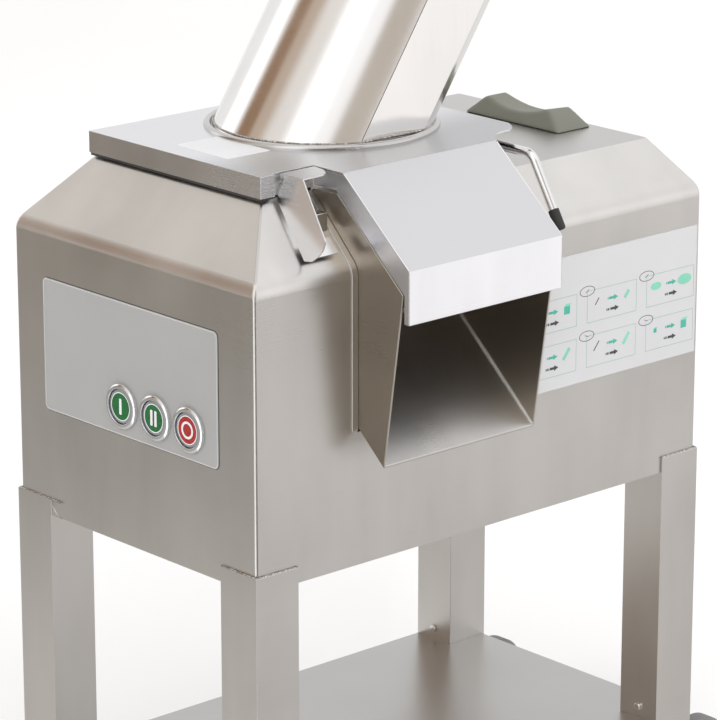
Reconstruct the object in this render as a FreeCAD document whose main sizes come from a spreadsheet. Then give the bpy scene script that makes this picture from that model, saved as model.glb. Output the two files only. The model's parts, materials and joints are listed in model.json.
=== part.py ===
"""Vegetable dicer: a stainless vegetable preparation machine on four legs.

A folded housing with a hipped roof holds the motor and the cutting bowl. A hinged lid carries the
inclined feed tube with its loading tray and the cover of the discharge chute.
+X runs from the control panel to the transport wheels, -Y is the chute side, +Z is up.
The origin is on the floor below the middle of the housing.
"""
import FreeCAD, Part
import math
import os
import re
import Sketcher

# Driving dimensions in millimetres (degrees for the angles).
SIZES = {
    # housing
    "housing_length": 625, "housing_width": 380, "base_height": 390, "wall_height": 308,
    "deck_rise": 67, "roof_rise": 50.4, "back_inset": 52, "end_inset": 32, "deck_length": 376,
    "bend_radius": 22, "corner_radius": 4, "skin": 2, "fit_gap": 0.3,
    # legs, shelf and feet
    "leg_side": 55, "leg_wall": 3, "leg_proud": 2.4, "leg_lap": 17.5, "foot_height": 8,
    "shelf_height": 100, "shelf_flange": 25,
    # transport wheels
    "wheel_radius": 37.5, "wheel_width": 26, "wheel_offset": 356.5, "axle_radius": 5,
    "hub_radius": 27,
    # cutting bowl, feed tube and everything on their shared axis
    "core_across": -51, "core_deep": 7.5, "bowl_radius": 112, "bowl_wall": 3, "bowl_floor": 612,
    "tube_radius": 114, "tube_height": 304.5, "tube_lean": 0.674, "facet_offset": 105.3,
    "ring_radius": 118.5, "bead_radius": 4,
    "tray_top": 1156, "tray_flare": 28, "tray_long": 304, "tray_deep": 264, "rim_radius": 4,
    # lid
    "lid_left": -251.5, "lid_right": 92.5, "lid_front": -129, "lid_back": 141,
    "lid_top": 790.5, "lid_gap": 768, "lid_sheet": 2, "recess_depth": 5, "recess_left": -232.5,
    # discharge chute and its cover
    "chute_left": -179.5, "chute_right": 28.5, "cover_bend": -169, "apron_face": -265,
    "apron_top": 710, "apron_bottom": 655, "lip_out": -228.8, "lip_height": 500.7,
    "chute_back": -106, "spout_half": 75, "strip_width": 8, "strip_depth": 1.5,
    # hinge of the lid and its pull-out pin
    "hinge_across": 69.5, "hinge_height": 772, "pin_radius": 5, "run_gap": 0.05, "eye_radius": 8.9,
    "rod_end": 130, "rod_bend_start": -170, "rod_drop": 59, "rod_bend_radius": 16, "rod_tail": 68,
    # latch
    "latch_left": -226, "latch_right": -188, "latch_deep": -133, "latch_height": 783,
    "lever_tilt": 10.5, "catch_face": -156.6, "catch_left": -203,
    # control panel
    "panel_front": -134.5, "panel_back": 143.4, "panel_bottom": 505.5, "panel_top": 646.8,
    "panel_round": 6, "button_height": 537.6, "button_middle": -38.6, "button_pitch": 52.8,
    "bezel_radius": 23.5, "button_radius": 18, "button_travel": 3,
    # drive
    "motor_across": 187.5, "motor_radius": 82, "shaft_radius": 12.5, "rotor_radius": 7.5,
    "big_pulley": 80, "small_pulley": 32, "belt_thick": 7, "belt_width": 12, "belt_height": 425,
    # rubber saddle
    "saddle_left": 220.5, "saddle_length": 52, "saddle_half": 73.5, "saddle_height": 20.5,
    "saddle_groove": 118, "saddle_low": 11.4, "saddle_tilt": 6, "saddle_ramp": 24,
}

doc = FreeCAD.newDocument("vegetable_dicer")
sheet = doc.addObject("Spreadsheet::Sheet", "Sizes")
for row, (alias, value) in enumerate(SIZES.items(), start=1):
    sheet.set("A%d" % row, alias)
    sheet.set("B%d" % row, str(value))
    sheet.setAlias("B%d" % row, alias)
doc.recompute()

# Places that several sub-parts share, as expressions of the driving dimensions.
END = "(housing_length / 2)"
SIDE = "(housing_width / 2)"
BEND = "(base_height + wall_height)"
DECK = "(base_height + wall_height + deck_rise)"
ROOF = "(base_height + wall_height + roof_rise)"
DECK_END = "(deck_length - housing_length / 2)"
LEG_X = "(housing_length / 2 + leg_proud)"
LEG_Y = "(housing_width / 2 + leg_proud)"

nodes = {}


def size(alias):
    """A driving dimension as a plain number, for shapes made by Part's own functions."""
    return float(sheet.get(alias))


def cells(text):
    """The expression with each driving dimension's name turned into its cell's name."""
    def swap(match):
        word = match.group(0)
        return "Sizes." + word if word in SIZES else word
    return re.sub(r"[a-z][a-z_]+", swap, str(text))


def bind(thing, prop, text):
    thing.setExpression(prop, cells(text))


def place(thing, at):
    for axis, value in zip("xyz", at):
        bind(thing, "Placement.Base." + axis, value)


def keep(name, thing):
    """Registers a finished sub-part under the name of its node."""
    thing.Label = name
    nodes[name] = thing
    return thing


def block(name, low, high):
    """A box between two corners."""
    thing = doc.addObject("Part::Box", name)
    for prop, a, b in zip(("Length", "Width", "Height"), low, high):
        bind(thing, prop, "(%s) - (%s)" % (b, a))
    place(thing, low)
    return thing


TURN = {"Z": (0, 0, 1, 0), "X": (0, 1, 0, 90), "Y": (1, 0, 0, -90)}


def rod(name, radius, at, length, axis="Z"):
    """A cylinder that starts at a point and runs along a positive axis."""
    thing = doc.addObject("Part::Cylinder", name)
    bind(thing, "Radius", radius)
    bind(thing, "Height", length)
    x, y, z, angle = TURN[axis]
    thing.Placement.Rotation = FreeCAD.Rotation(FreeCAD.Vector(x, y, z), angle)
    place(thing, at)
    return thing


def fuse(name, things):
    thing = doc.addObject("Part::MultiFuse", name)
    thing.Shapes = things
    thing.Refine = True
    return thing


def group(name, things):
    """Separate solids that share one node."""
    thing = doc.addObject("Part::Compound", name)
    thing.Links = things
    return thing


def cut(name, base, tools):
    tool = tools[0] if len(tools) == 1 else fuse(name + "_tools", tools)
    thing = doc.addObject("Part::Cut", name)
    thing.Base = base
    thing.Tool = tool
    return thing


def common(name, first, second):
    thing = doc.addObject("Part::Common", name)
    thing.Base = first
    thing.Tool = second
    return thing


def tube(name, outer, inner, at, length, axis="Z"):
    solid = rod(name + "_outer", outer, at, length, axis)
    hollow = rod(name + "_hollow", inner, at, length, axis)
    return cut(name, solid, [hollow])


def plane_of(body, role):
    return [item for item in body.Origin.OriginFeatures if item.Role == role][0]


def sketch_on(body, plane, start):
    """A sketch on one of the body's own planes, moved along the plane's normal."""
    sketch = body.newObject("Sketcher::SketchObject", body.Name + "_sketch")
    sketch.AttachmentSupport = [(plane_of(body, plane), "")]
    sketch.MapMode = "FlatFace"
    bind(sketch, "AttachmentOffset.Base.z", start)
    return sketch


def pin_point(sketch, index, end, across, up, rough):
    for kind, text, value in (("DistanceX", across, rough.x), ("DistanceY", up, rough.y)):
        number = sketch.addConstraint(Sketcher.Constraint(kind, -1, 1, index, end, value))
        bind(sketch, "Constraints[%d]" % number, text)


def draw_outline(sketch, points):
    """A closed outline of straight lines through points given as expressions."""
    count = len(points)
    step = 2 * math.pi / count
    rough = []
    for i in range(count):
        rough.append(FreeCAD.Vector(9 * math.cos(i * step), 9 * math.sin(i * step + 0.3), 0))
    first = sketch.GeometryCount
    for i in range(count):
        sketch.addGeometry(Part.LineSegment(rough[i], rough[(i + 1) % count]), False)
    for i in range(count):
        following = first + (i + 1) % count
        sketch.addConstraint(Sketcher.Constraint("Coincident", first + i, 2, following, 1))
    for i, (across, up) in enumerate(points):
        pin_point(sketch, first + i, 1, across, up, rough[i])


def pad(name, plane, points, start, length):
    """A padded outline. It grows along the plane's normal: +Z on XY, -Y on XZ, +X on YZ."""
    body = doc.addObject("PartDesign::Body", name)
    sketch = sketch_on(body, plane + "_Plane", start)
    draw_outline(sketch, points)
    feature = body.newObject("PartDesign::Pad", name + "_pad")
    feature.Profile = sketch
    bind(feature, "Length", length)
    return body


def turned(name, points, at=("0", "0", "0"), axis="Z"):
    """A revolved outline of (radius, height) points, standing at a place along an axis."""
    body = doc.addObject("PartDesign::Body", name)
    sketch = sketch_on(body, "XZ_Plane", "0")
    draw_outline(sketch, points)
    feature = body.newObject("PartDesign::Revolution", name + "_turn")
    feature.Profile = sketch
    feature.ReferenceAxis = (sketch, ["V_Axis"])
    feature.Angle = 360
    x, y, z, angle = TURN[axis]
    body.Placement.Rotation = FreeCAD.Rotation(FreeCAD.Vector(x, y, z), angle)
    place(body, at)
    return body


def edges_where(thing, test):
    """Numbers of the edges whose two ends pass a test."""
    doc.recompute()
    found = []
    for number, edge in enumerate(thing.Shape.Edges, start=1):
        ends = [vertex.Point for vertex in edge.Vertexes]
        if len(ends) == 2 and test(*ends):
            found.append(number)
    return found


def round_body(body, test, radius):
    """A fillet on the body's edges whose two ends pass a test."""
    names = ["Edge%d" % number for number in edges_where(body, test)]
    before = body.Tip
    feature = body.newObject("PartDesign::Fillet", body.Name + "_round")
    feature.Base = (before, names)
    bind(feature, "Radius", radius)
    body.Tip = feature
    return body


def round_corners(name, base, radius):
    """Rounds the upright corner edges and the hips: every edge that rises from one end to the other."""
    rising = edges_where(base, lambda a, b: abs(a.z - b.z) > 1)
    thing = doc.addObject("Part::Fillet", name)
    thing.Base = base
    thing.Edges = [(number, radius, radius) for number in rising]
    return thing


# --- housing -------------------------------------------------------------------------------------

def at_bend(first, second):
    """Whether both points lie at the height where the walls fold into the roof."""
    bend = size("base_height") + size("wall_height")
    return max(abs(first.z - bend), abs(second.z - bend)) < 20


def long_prism(name, inset, bottom, radius):
    """The housing's side view, from the panel end to the wheel end, as a prism."""
    shift = "0.41 * (%s)" % inset
    points = [("-%s + %s" % (END, inset), bottom), ("%s - %s" % (END, inset), bottom),
              ("%s - %s" % (END, inset), "%s - %s" % (BEND, shift)),
              ("%s - end_inset - %s" % (END, shift), "%s - %s" % (ROOF, inset)),
              ("%s - %s" % (DECK_END, inset), "%s - %s" % (ROOF, inset)),
              ("%s - %s" % (DECK_END, inset), "%s - %s" % (DECK, inset)),
              ("-%s + deck_rise + %s" % (END, shift), "%s - %s" % (DECK, inset)),
              ("-%s + %s" % (END, inset), "%s - %s" % (BEND, shift))]
    body = pad(name, "XZ", points, "-%s + %s" % (SIDE, inset), "housing_width - 2 * (%s)" % inset)
    limit = size("housing_length") / 2 - 10
    return round_body(body, lambda a, b: min(abs(a.x), abs(b.x)) > limit and at_bend(a, b), radius)


def cross_prism(name, inset, bottom, radius):
    """The housing's end view, from the chute side to the back, as a prism."""
    shift = "0.41 * (%s)" % inset
    points = [("-%s + %s" % (SIDE, inset), bottom), ("%s - %s" % (SIDE, inset), bottom),
              ("%s - %s" % (SIDE, inset), "%s - %s" % (BEND, shift)),
              ("%s - back_inset - %s" % (SIDE, shift), "%s - %s" % (DECK, inset)),
              ("-%s + deck_rise + %s" % (SIDE, shift), "%s - %s" % (DECK, inset)),
              ("-%s + %s" % (SIDE, inset), "%s - %s" % (BEND, shift))]
    body = pad(name, "YZ", points, "-%s + %s" % (END, inset), "housing_length - 2 * (%s)" % inset)
    limit = size("housing_width") / 2 - 10
    return round_body(body, lambda a, b: min(abs(a.y), abs(b.y)) > limit and at_bend(a, b), radius)


def button_places():
    return ["button_middle + %d * button_pitch" % step for step in (1, 0, -1)]


def make_housing():
    outer = common("housing_outer", long_prism("long_out", "0", "base_height", "bend_radius"),
                   cross_prism("cross_out", "0", "base_height", "bend_radius"))
    inner = common("housing_inner",
                   long_prism("long_in", "skin", "base_height - 5", "bend_radius - skin"),
                   cross_prism("cross_in", "skin", "base_height - 5", "bend_radius - skin"))
    shell = cut("housing_folded", round_corners("housing_rounded", outer, size("corner_radius")), [inner])
    openings = [
        rod("bowl_opening", "bowl_radius + fit_gap", ("core_across", "core_deep", DECK + " - 10"), "20"),
        block("chute_opening", ("chute_left - fit_gap", "-%s - 5" % SIDE, "base_height + 140"),
              ("chute_right + fit_gap", "-%s + deck_rise - fit_gap" % SIDE, DECK + " + 5")),
        rod("gland_opening", "10.3", ("250", SIDE + " - 5", "base_height + 50"), "10", "Y")]
    for number, deep in enumerate(button_places(), start=1):
        place_at = ("-%s - 5" % END, deep, "button_height")
        openings.append(rod("button_opening_%d" % number, "button_radius + 2.2", place_at, "10", "X"))
    keep("housing_shell", cut("housing_cut", shell, openings))


def make_base_plate():
    gap = "(skin + fit_gap)"
    plate = block("base_sheet", ("-%s + %s" % (END, gap), "-%s + %s" % (SIDE, gap), "base_height"),
                  ("%s - %s" % (END, gap), "%s - %s" % (SIDE, gap), "base_height + skin"))
    slots = []
    for side in (-1, 1):
        for number in range(8):
            x = "%d + %d * 14" % (120, number)
            y = "core_deep + %d * 95" % side
            slots.append(block("vent_slot", (x, y + " - 22", "base_height - 1"),
                               (x + " + 6", y + " + 22", "base_height + 5")))
    keep("base_plate", cut("base_vented", plate, slots))


def make_plate_screws():
    """Pan-head screws: eight under the base plate and eight that hold the shelf to the legs."""
    screws = []
    for x in ("-%s + 90" % END, "-90", "90", "%s - 90" % END):
        for y in ("-%s + 12" % SIDE, "%s - 12" % SIDE):
            screws.append(rod("base_screw", "4.5", (x, y, "base_height - 3"), "3"))
    for x in (-1, 1):
        for y in (-1, 1):
            edge = "%d * (%s - leg_side + leg_proud)" % (x, END)
            head = edge if x < 0 else edge + " - 3"
            face = "%d * (%s + leg_proud - leg_side / 2)" % (y, SIDE)
            screws.append(rod("shelf_screw", "4.5", (head, face, "shelf_height + 12"), "3", "X"))
    keep("plate_screws", group("screw_group", screws))


# --- legs and shelf ------------------------------------------------------------------------------

def make_leg(name, along, deep):
    """A square tube whose two outer walls lap the housing's corner."""
    def span(sign, edge, inset):
        far = "%d * (%s - %s)" % (sign, edge, inset)
        near = "%d * (%s - leg_side + %s)" % (sign, edge, inset)
        return (far, near) if sign < 0 else (near, far)
    x0, x1 = span(along, LEG_X, "0")
    y0, y1 = span(deep, LEG_Y, "0")
    u0, u1 = span(along, LEG_X, "leg_wall")
    v0, v1 = span(deep, LEG_Y, "leg_wall")
    outer = block(name + "_outer", (x0, y0, "foot_height"), (x1, y1, "base_height + leg_lap"))
    hollow = block(name + "_hollow", (u0, v0, "0"), (u1, v1, "base_height + leg_lap + 1"))
    corner = block(name + "_corner", ("-" + END, "-" + SIDE, "base_height"), (END, SIDE, DECK))
    return cut(name + "_tube", outer, [hollow, corner])


def make_legs():
    """Four legs. The one at the panel end's back has a curved gusset beside its lap."""
    keep("leg_front_chute", make_leg("leg_front_chute", -1, -1))
    keep("leg_rear_chute", make_leg("leg_rear_chute", 1, -1))
    keep("leg_rear_back", make_leg("leg_rear_back", 1, 1))
    leg = make_leg("leg_front_back", -1, 1)
    edge = "(%s - leg_side)" % LEG_Y
    plate = block("gusset_plate", ("-%s - 1" % END, edge + " - leg_lap", "base_height"),
                  ("-" + END, edge, "base_height + leg_lap"))
    centre = ("-%s - 2" % END, edge + " - leg_lap", "base_height + leg_lap")
    curve = rod("gusset_curve", "leg_lap", centre, "4", "X")
    keep("leg_front_back", fuse("leg_with_gusset", [leg, cut("gusset", plate, [curve])]))


def make_leg_feet():
    feet = []
    for along in (-1, 1):
        for deep in (-1, 1):
            x = "%d * (%s - leg_side / 2)" % (along, LEG_X)
            y = "%d * (%s - leg_side / 2)" % (deep, LEG_Y)
            half = "(leg_side / 2)"
            low = ("%s - %s" % (x, half), "%s - %s" % (y, half), "0")
            high = ("%s + %s" % (x, half), "%s + %s" % (y, half), "foot_height")
            inner = "(leg_side / 2 - leg_wall - 0.5)"
            plug = block("foot_plug", ("%s - %s" % (x, inner), "%s - %s" % (y, inner), "foot_height"),
                         ("%s + %s" % (x, inner), "%s + %s" % (y, inner), "foot_height + 20"))
            feet.append(fuse("foot", [block("foot_pad", low, high), plug]))
    keep("leg_feet", group("feet_group", feet))


def make_shelf():
    """A sheet with a turned-down flange on each side, notched round the legs."""
    top = block("shelf_top", ("-" + END, "-" + SIDE, "shelf_height - shelf_flange"),
                (END, SIDE, "shelf_height"))
    open_bottom = "shelf_height - shelf_flange - 1"
    under = block("shelf_under", ("-%s + skin" % END, "-%s + skin" % SIDE, open_bottom),
                  ("%s - skin" % END, "%s - skin" % SIDE, "shelf_height - skin"))
    notches = []
    for along in (-1, 1):
        for deep in (-1, 1):
            x = "%d * (%s - leg_side / 2)" % (along, LEG_X)
            y = "%d * (%s - leg_side / 2)" % (deep, LEG_Y)
            half = "(leg_side / 2)"
            notches.append(block("leg_notch", ("%s - %s" % (x, half), "%s - %s" % (y, half), "0"),
                                 ("%s + %s" % (x, half), "%s + %s" % (y, half), "shelf_height + 10")))
    keep("shelf", cut("shelf_sheet", top, [under] + notches))


# --- transport wheels ----------------------------------------------------------------------------

def wheel_middle(side):
    return "%d * (%s - leg_side / 2)" % (side, LEG_Y)


def make_wheel(name, side):
    middle = wheel_middle(side)
    at = ("wheel_offset", middle + " - wheel_width / 2", "wheel_radius")
    shoulder = "(wheel_radius - 4)"
    tyre = turned(name + "_tyre_body", [("hub_radius", "2"), (shoulder, "0"), ("wheel_radius", "5"),
                                        ("wheel_radius", "wheel_width - 5"), (shoulder, "wheel_width"),
                                        ("hub_radius", "wheel_width - 2")], at, "Y")
    keep(name + "_tyre", tyre)
    web = "(wheel_width / 2)"
    bore = "axle_radius + run_gap"
    rim = "(hub_radius - 4)"
    outline = [(bore, "2"), ("10", "2"), ("11", web + " - 3"), (rim + " - 2", web + " - 3"),
               (rim, "4"), ("hub_radius", "4"), ("hub_radius", "wheel_width - 4"),
               (rim, "wheel_width - 4"), (rim + " - 2", web + " + 3"),
               ("11", web + " + 3"), ("10", "wheel_width - 2"), (bore, "wheel_width - 2")]
    keep(name + "_hub", turned(name + "_hub_body", outline, at, "Y"))


def make_wheel_forks():
    """A plate on each rear leg with two cheeks that hold the axle."""
    forks = []
    for side in (-1, 1):
        middle = wheel_middle(side)
        half = "(wheel_width / 2 + 4.5)"
        pieces = [block("fork_plate", (LEG_X, "%s - %s" % (middle, half), "22"),
                        (LEG_X + " + 3", "%s + %s" % (middle, half), "92"))]
        for face in ("%s - %s" % (middle, half), "%s + %s - 3" % (middle, half)):
            points = [(LEG_X, "24"), ("wheel_offset - 6", "24"), ("wheel_offset + 8", "30"),
                      ("wheel_offset + 8", "43"), ("wheel_offset - 4", "50"), (LEG_X, "86")]
            pieces.append(pad("fork_cheek", "XZ", points, "-(%s) - 3" % face, "3"))
        start = ("wheel_offset", "%s - 30" % middle, "wheel_radius")
        hole = rod("fork_hole", "axle_radius", start, "60", "Y")
        forks.append(cut("fork_bored", fuse("fork", pieces), [hole]))
    keep("wheel_forks", group("forks_group", forks))


def make_wheel_axles():
    axles = []
    for side in (-1, 1):
        middle = wheel_middle(side)
        start = "%s - wheel_width / 2 - 5" % middle
        at = ("wheel_offset", start, "wheel_radius")
        pieces = [rod("axle", "axle_radius", at, "wheel_width + 10", "Y")]
        for face in (start + " - 3", "%s + wheel_width / 2 + 5" % middle):
            pieces.append(rod("axle_head", "8", ("wheel_offset", face, "wheel_radius"), "3", "Y"))
        axles.append(fuse("axle_with_heads", pieces))
    keep("wheel_axles", group("axle_group", axles))


# --- control panel -------------------------------------------------------------------------------

def make_control_plate():
    corners = [("panel_front", "panel_bottom"), ("panel_back", "panel_bottom"),
               ("panel_back", "panel_top"), ("panel_front", "panel_top")]
    plate = pad("panel_body", "YZ", corners, "-%s - 1" % END, "1")
    round_body(plate, lambda a, b: abs(a.x - b.x) > 0.5, "panel_round")
    holes = []
    for deep in button_places():
        centre = ("-%s - 2" % END, deep, "button_height")
        holes.append(rod("panel_hole", "button_radius + 2.2", centre, "4", "X"))
    keep("control_plate", cut("panel_pierced", plate, holes))


def make_buttons():
    """Three push buttons that travel towards +X, with their bezels and switch blocks."""
    bezels = []
    blocks = []
    names = ("start_button", "pulse_button", "stop_button")
    for name, deep in zip(names, button_places()):
        at = ("-%s" % END, deep, "button_height")
        ring = [("button_radius + 0.4", "-6"), ("bezel_radius - 2", "-6"), ("bezel_radius", "-4.5"),
                ("bezel_radius", "-1"), ("button_radius + 2", "-1"), ("button_radius + 2", "6"),
                ("button_radius + 0.4", "6")]
        bezels.append(turned(name + "_bezel", ring, at, "X"))
        cap = [("0", "-4.5"), ("button_radius - 1", "-4.5"), ("button_radius", "-3.5"),
               ("button_radius", "0"), ("6", "0"), ("6", "14"), ("0", "14")]
        keep(name, turned(name + "_body", cap, at, "X"))
        blocks.append(block("switch", ("-%s + 18" % END, deep + " - 17", "button_height - 20"),
                            ("-%s + 52" % END, deep + " + 17", "button_height + 20")))
    keep("button_bezels", group("bezel_group", bezels))
    keep("switch_blocks", group("switch_group", blocks))


def make_guide_label():
    plate = block("label_sheet", ("49.5", "-%s - 0.6" % SIDE, "base_height + 127.5"),
                  ("307.5", "-" + SIDE, "base_height + 268"))
    keep("guide_label", plate)


# --- cutting bowl and chute ----------------------------------------------------------------------

def make_bowl():
    low = "bowl_floor - bowl_wall"
    outer = fuse("bowl_solid", [
        rod("bowl_outside", "bowl_radius", ("core_across", "core_deep", low), DECK + " - (%s)" % low),
        block("spout_outside", ("core_across - spout_half - 2", "chute_back + fit_gap", low),
              ("core_across + spout_half + 2", "core_deep", DECK + " - 5"))])
    inner = fuse("bowl_space", [
        rod("bowl_inside", "bowl_radius - bowl_wall", ("core_across", "core_deep", "bowl_floor"), "200"),
        block("spout_inside", ("core_across - spout_half", "chute_back - 10", "bowl_floor"),
              ("core_across + spout_half", "core_deep", DECK + " - 8")),
        rod("shaft_opening", "shaft_radius + 1.5", ("core_across", "core_deep", low + " - 5"), "20")])
    keep("cutting_bowl", cut("bowl_shell", outer, [inner]))


def make_chute():
    """A folded trough: two walls, a floor that slopes down to the lip, and a back plate."""
    rise = "((bowl_floor - 3 - lip_height) / (chute_back - lip_out))"
    outline = [("lip_out", "lip_height"), ("chute_back", "bowl_floor - 3"),
               ("chute_back", DECK + " - skin - 2"),
               ("-%s + deck_rise - 0.6" % SIDE, DECK + " - skin - 2"),
               ("-%s + deck_rise - 0.6" % SIDE, DECK + " + 1.5"),
               ("-160", DECK + " + 3"), ("-256", "683.6")]
    solid = pad("chute_solid", "YZ", outline, "chute_left", "chute_right - chute_left")
    lift = "lip_height + 2.7"
    space = [("lip_out - 70", "%s - 70 * %s" % (lift, rise)),
             ("chute_back - skin", "%s + (chute_back - skin - lip_out) * %s" % (lift, rise)),
             ("chute_back - skin", "900"), ("lip_out - 70", "900")]
    hollow = pad("chute_space", "YZ", space, "chute_left + skin", "chute_right - chute_left - 2 * skin")
    outlet = block("chute_outlet", ("core_across - spout_half", "chute_back - 5", "bowl_floor + 3"),
                   ("core_across + spout_half", "chute_back + 5", DECK + " - 8"))
    keep("discharge_chute", cut("chute_trough", solid, [hollow, outlet]))


def make_chute_strips():
    """The welded strips where the chute's walls leave the housing."""
    over = cross_prism("strip_over", "-strip_depth", "base_height", "bend_radius + strip_depth")
    under = cross_prism("strip_under", "0", "base_height - 5", "bend_radius")
    skin = cut("strip_skin", over, [under])
    bands = []
    for low, high in (("chute_left - strip_width", "chute_left - fit_gap"),
                      ("chute_right + fit_gap", "chute_right + strip_width")):
        bands.append(block("strip_band", (low, "-%s - 5" % SIDE, "base_height + 142"),
                           (high, "-%s + deck_rise - 7" % SIDE, DECK + " - 4")))
    both = fuse("strip_bands", bands)
    keep("chute_strips", common("strip_pair", skin, both))


# --- lid -----------------------------------------------------------------------------------------

def make_lid():
    """A folded tray: top sheet with the feed opening, skirts, latch ears and a cut-away corner."""
    recess = "lid_front + recess_depth"
    outline = [("lid_left", "lid_front"), ("recess_left", "lid_front"), ("recess_left", recess),
               ("chute_left", recess), ("chute_left", "cover_bend"), ("chute_right", "cover_bend"),
               ("chute_right + 7.5", "cover_bend + 10"), ("chute_right + 17", "cover_bend + 18.5"),
               ("lid_right - 38", "lid_front - 16.5"), ("lid_right - 28.5", "lid_front - 15"),
               ("lid_right - 20.5", "lid_front - 15"), ("lid_right - 12.5", "lid_front - 10.5"),
               ("lid_right - 5.5", "lid_front - 2"), ("lid_right", "lid_front + 7"),
               ("lid_right", "lid_back"), ("lid_left", "lid_back")]
    sheet_top = pad("lid_sheet_body", "XY", outline, "lid_top - lid_sheet", "lid_sheet")
    inside = "lid_top - lid_sheet / 2"
    wall = "1.5"
    skirts = [
        block("skirt_left", ("lid_left", "lid_front", "lid_gap"),
              ("lid_left + " + wall, "lid_back", inside)),
        block("skirt_front", ("lid_left", "lid_front", "lid_gap"),
              ("recess_left", "lid_front + " + wall, inside)),
        block("skirt_step", ("recess_left - " + wall, "lid_front", "lid_gap"),
              ("recess_left", recess + " + " + wall, inside)),
        block("skirt_recess", ("recess_left - " + wall, recess, "lid_gap"),
              ("chute_left", recess + " + " + wall, inside)),
        block("skirt_back", ("lid_left", "lid_back - " + wall, "lid_gap"),
              ("hinge_across - 17", "lid_back", inside)),
        block("skirt_right", ("lid_right - " + wall, "lid_front + 10", "lid_top - 8"),
              ("lid_right", "lid_back", inside))]
    ears = []
    for left in ("latch_left + 8", "latch_right - 11"):
        ears.append(rod("ear_eye", "5", (left, "latch_deep", "latch_height"), "3", "X"))
        ears.append(block("ear_arm", (left, "latch_deep", "latch_height - 5"),
                          (left + " + 3", recess + " + 1", "latch_height - 2")))
    solid = fuse("lid_folded", [sheet_top] + skirts + ears)
    feed = rod("feed_opening", "tube_radius - 2", ("core_across", "core_deep", "lid_top - 10"), "20")
    pin = rod("latch_bore", "3", ("latch_left", "latch_deep", "latch_height"), "50", "X")
    keep("lid_plate", cut("lid_pierced", solid, [feed, pin]))


def make_chute_cover():
    """The hood over the chute: sloped plate, upright apron and two side flanges."""
    inner_edge = "lid_front + recess_depth - 1"
    under_sheet = "lid_top - lid_sheet - 0.2"
    top = [("cover_bend", "lid_top - 0.1"), ("apron_face", "apron_top"), ("apron_face", "apron_bottom"),
           ("apron_face + 7.5", "apron_bottom"), ("apron_face + 7.5", "683.8"), ("-158", "771"),
           (inner_edge, "771"), (inner_edge, under_sheet), ("cover_bend", under_sheet)]
    solid = pad("cover_solid", "YZ", top, "chute_left", "chute_right - chute_left")
    fall = "((lid_top - apron_top) / (cover_bend - apron_face))"
    space = [("cover_bend - 3", "lid_top - 2.3 - 3 * %s" % fall),
             ("apron_face + 1.5", "apron_top - 1"), ("apron_face + 1.5", "apron_bottom - 5"),
             ("0", "apron_bottom - 5"), ("0", "lid_top - 2.3"),
             ("cover_bend - 2", "lid_top - 2.3 - 2 * %s" % fall)]
    hollow = pad("cover_space", "YZ", space, "chute_left + 1.5", "chute_right - chute_left - 3")
    keep("chute_cover", cut("cover_hood", solid, [hollow]))


def tube_solid(name, radius, facet, base, height):
    """A leaning tube's solid: a circle with a flat on the chute side, swept along a slanted line."""
    body = doc.addObject("PartDesign::Body", name)
    sketch = sketch_on(body, "XY_Plane", base)
    sketch.addGeometry(Part.Circle(FreeCAD.Vector(0, 0, 0), FreeCAD.Vector(0, 0, 1), 50), False)
    pin_point(sketch, 0, 3, "core_across", "core_deep", FreeCAD.Vector(0, 0, 0))
    number = sketch.addConstraint(Sketcher.Constraint("Radius", 0, 50))
    bind(sketch, "Constraints[%d]" % number, radius)
    feature = body.newObject("PartDesign::Pad", name + "_pad")
    feature.Profile = sketch
    feature.UseCustomVector = True
    bind(feature, "Direction.x", "tube_lean")
    feature.Direction = FreeCAD.Vector(size("tube_lean"), 0, 1)
    feature.AlongSketchNormal = True
    bind(feature, "Length", height)
    side = block(name + "_facet", ("-400", "-400", "lid_top - 50"),
                 ("600", "core_deep - (%s)" % facet, "1300"))
    return cut(name + "_flat", body, [side])


def make_feed_tube():
    outer = tube_solid("tube_out", "tube_radius", "facet_offset", "lid_top", "tube_height")
    inner = tube_solid("tube_in", "tube_radius - 2", "facet_offset - 2", "lid_top", "tube_height")
    keep("feed_tube", cut("tube_shell", outer, [inner]))


def make_weld_ring():
    ring = doc.addObject("Part::Torus", "weld_torus")
    bind(ring, "Radius1", "ring_radius")
    bind(ring, "Radius2", "bead_radius")
    place(ring, ("core_across", "core_deep", "lid_top + 0.5"))
    lower = block("weld_below", ("-300", "-300", "lid_top - 20"), ("300", "300", "lid_top"))
    core = tube_solid("weld_core", "tube_radius", "facet_offset - 0.01", "lid_top - 1", "tube_height")
    keep("weld_ring", cut("weld_bead", ring, [lower, core]))


def flared_box(name, half_long, half_deep, low, high, flare):
    """A four-sided dish that widens upwards, about the mouth of the tube."""
    mouth = "(core_across + tube_height * tube_lean)"
    thing = doc.addObject("Part::Wedge", name)
    values = {"Xmin": "-(%s)" % half_long, "Xmax": half_long,
              "Zmin": "-(%s)" % half_deep, "Zmax": half_deep,
              "Ymin": "0", "Ymax": "(%s) - (%s)" % (high, low),
              "X2min": "-(%s) - %s" % (half_long, flare), "X2max": "%s + %s" % (half_long, flare),
              "Z2min": "-(%s) - %s" % (half_deep, flare), "Z2max": "%s + %s" % (half_deep, flare)}
    for prop, value in values.items():
        bind(thing, prop, value)
    thing.Placement.Rotation = FreeCAD.Rotation(FreeCAD.Vector(1, 0, 0), 90)
    place(thing, (mouth, "core_deep", low))
    return thing


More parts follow.
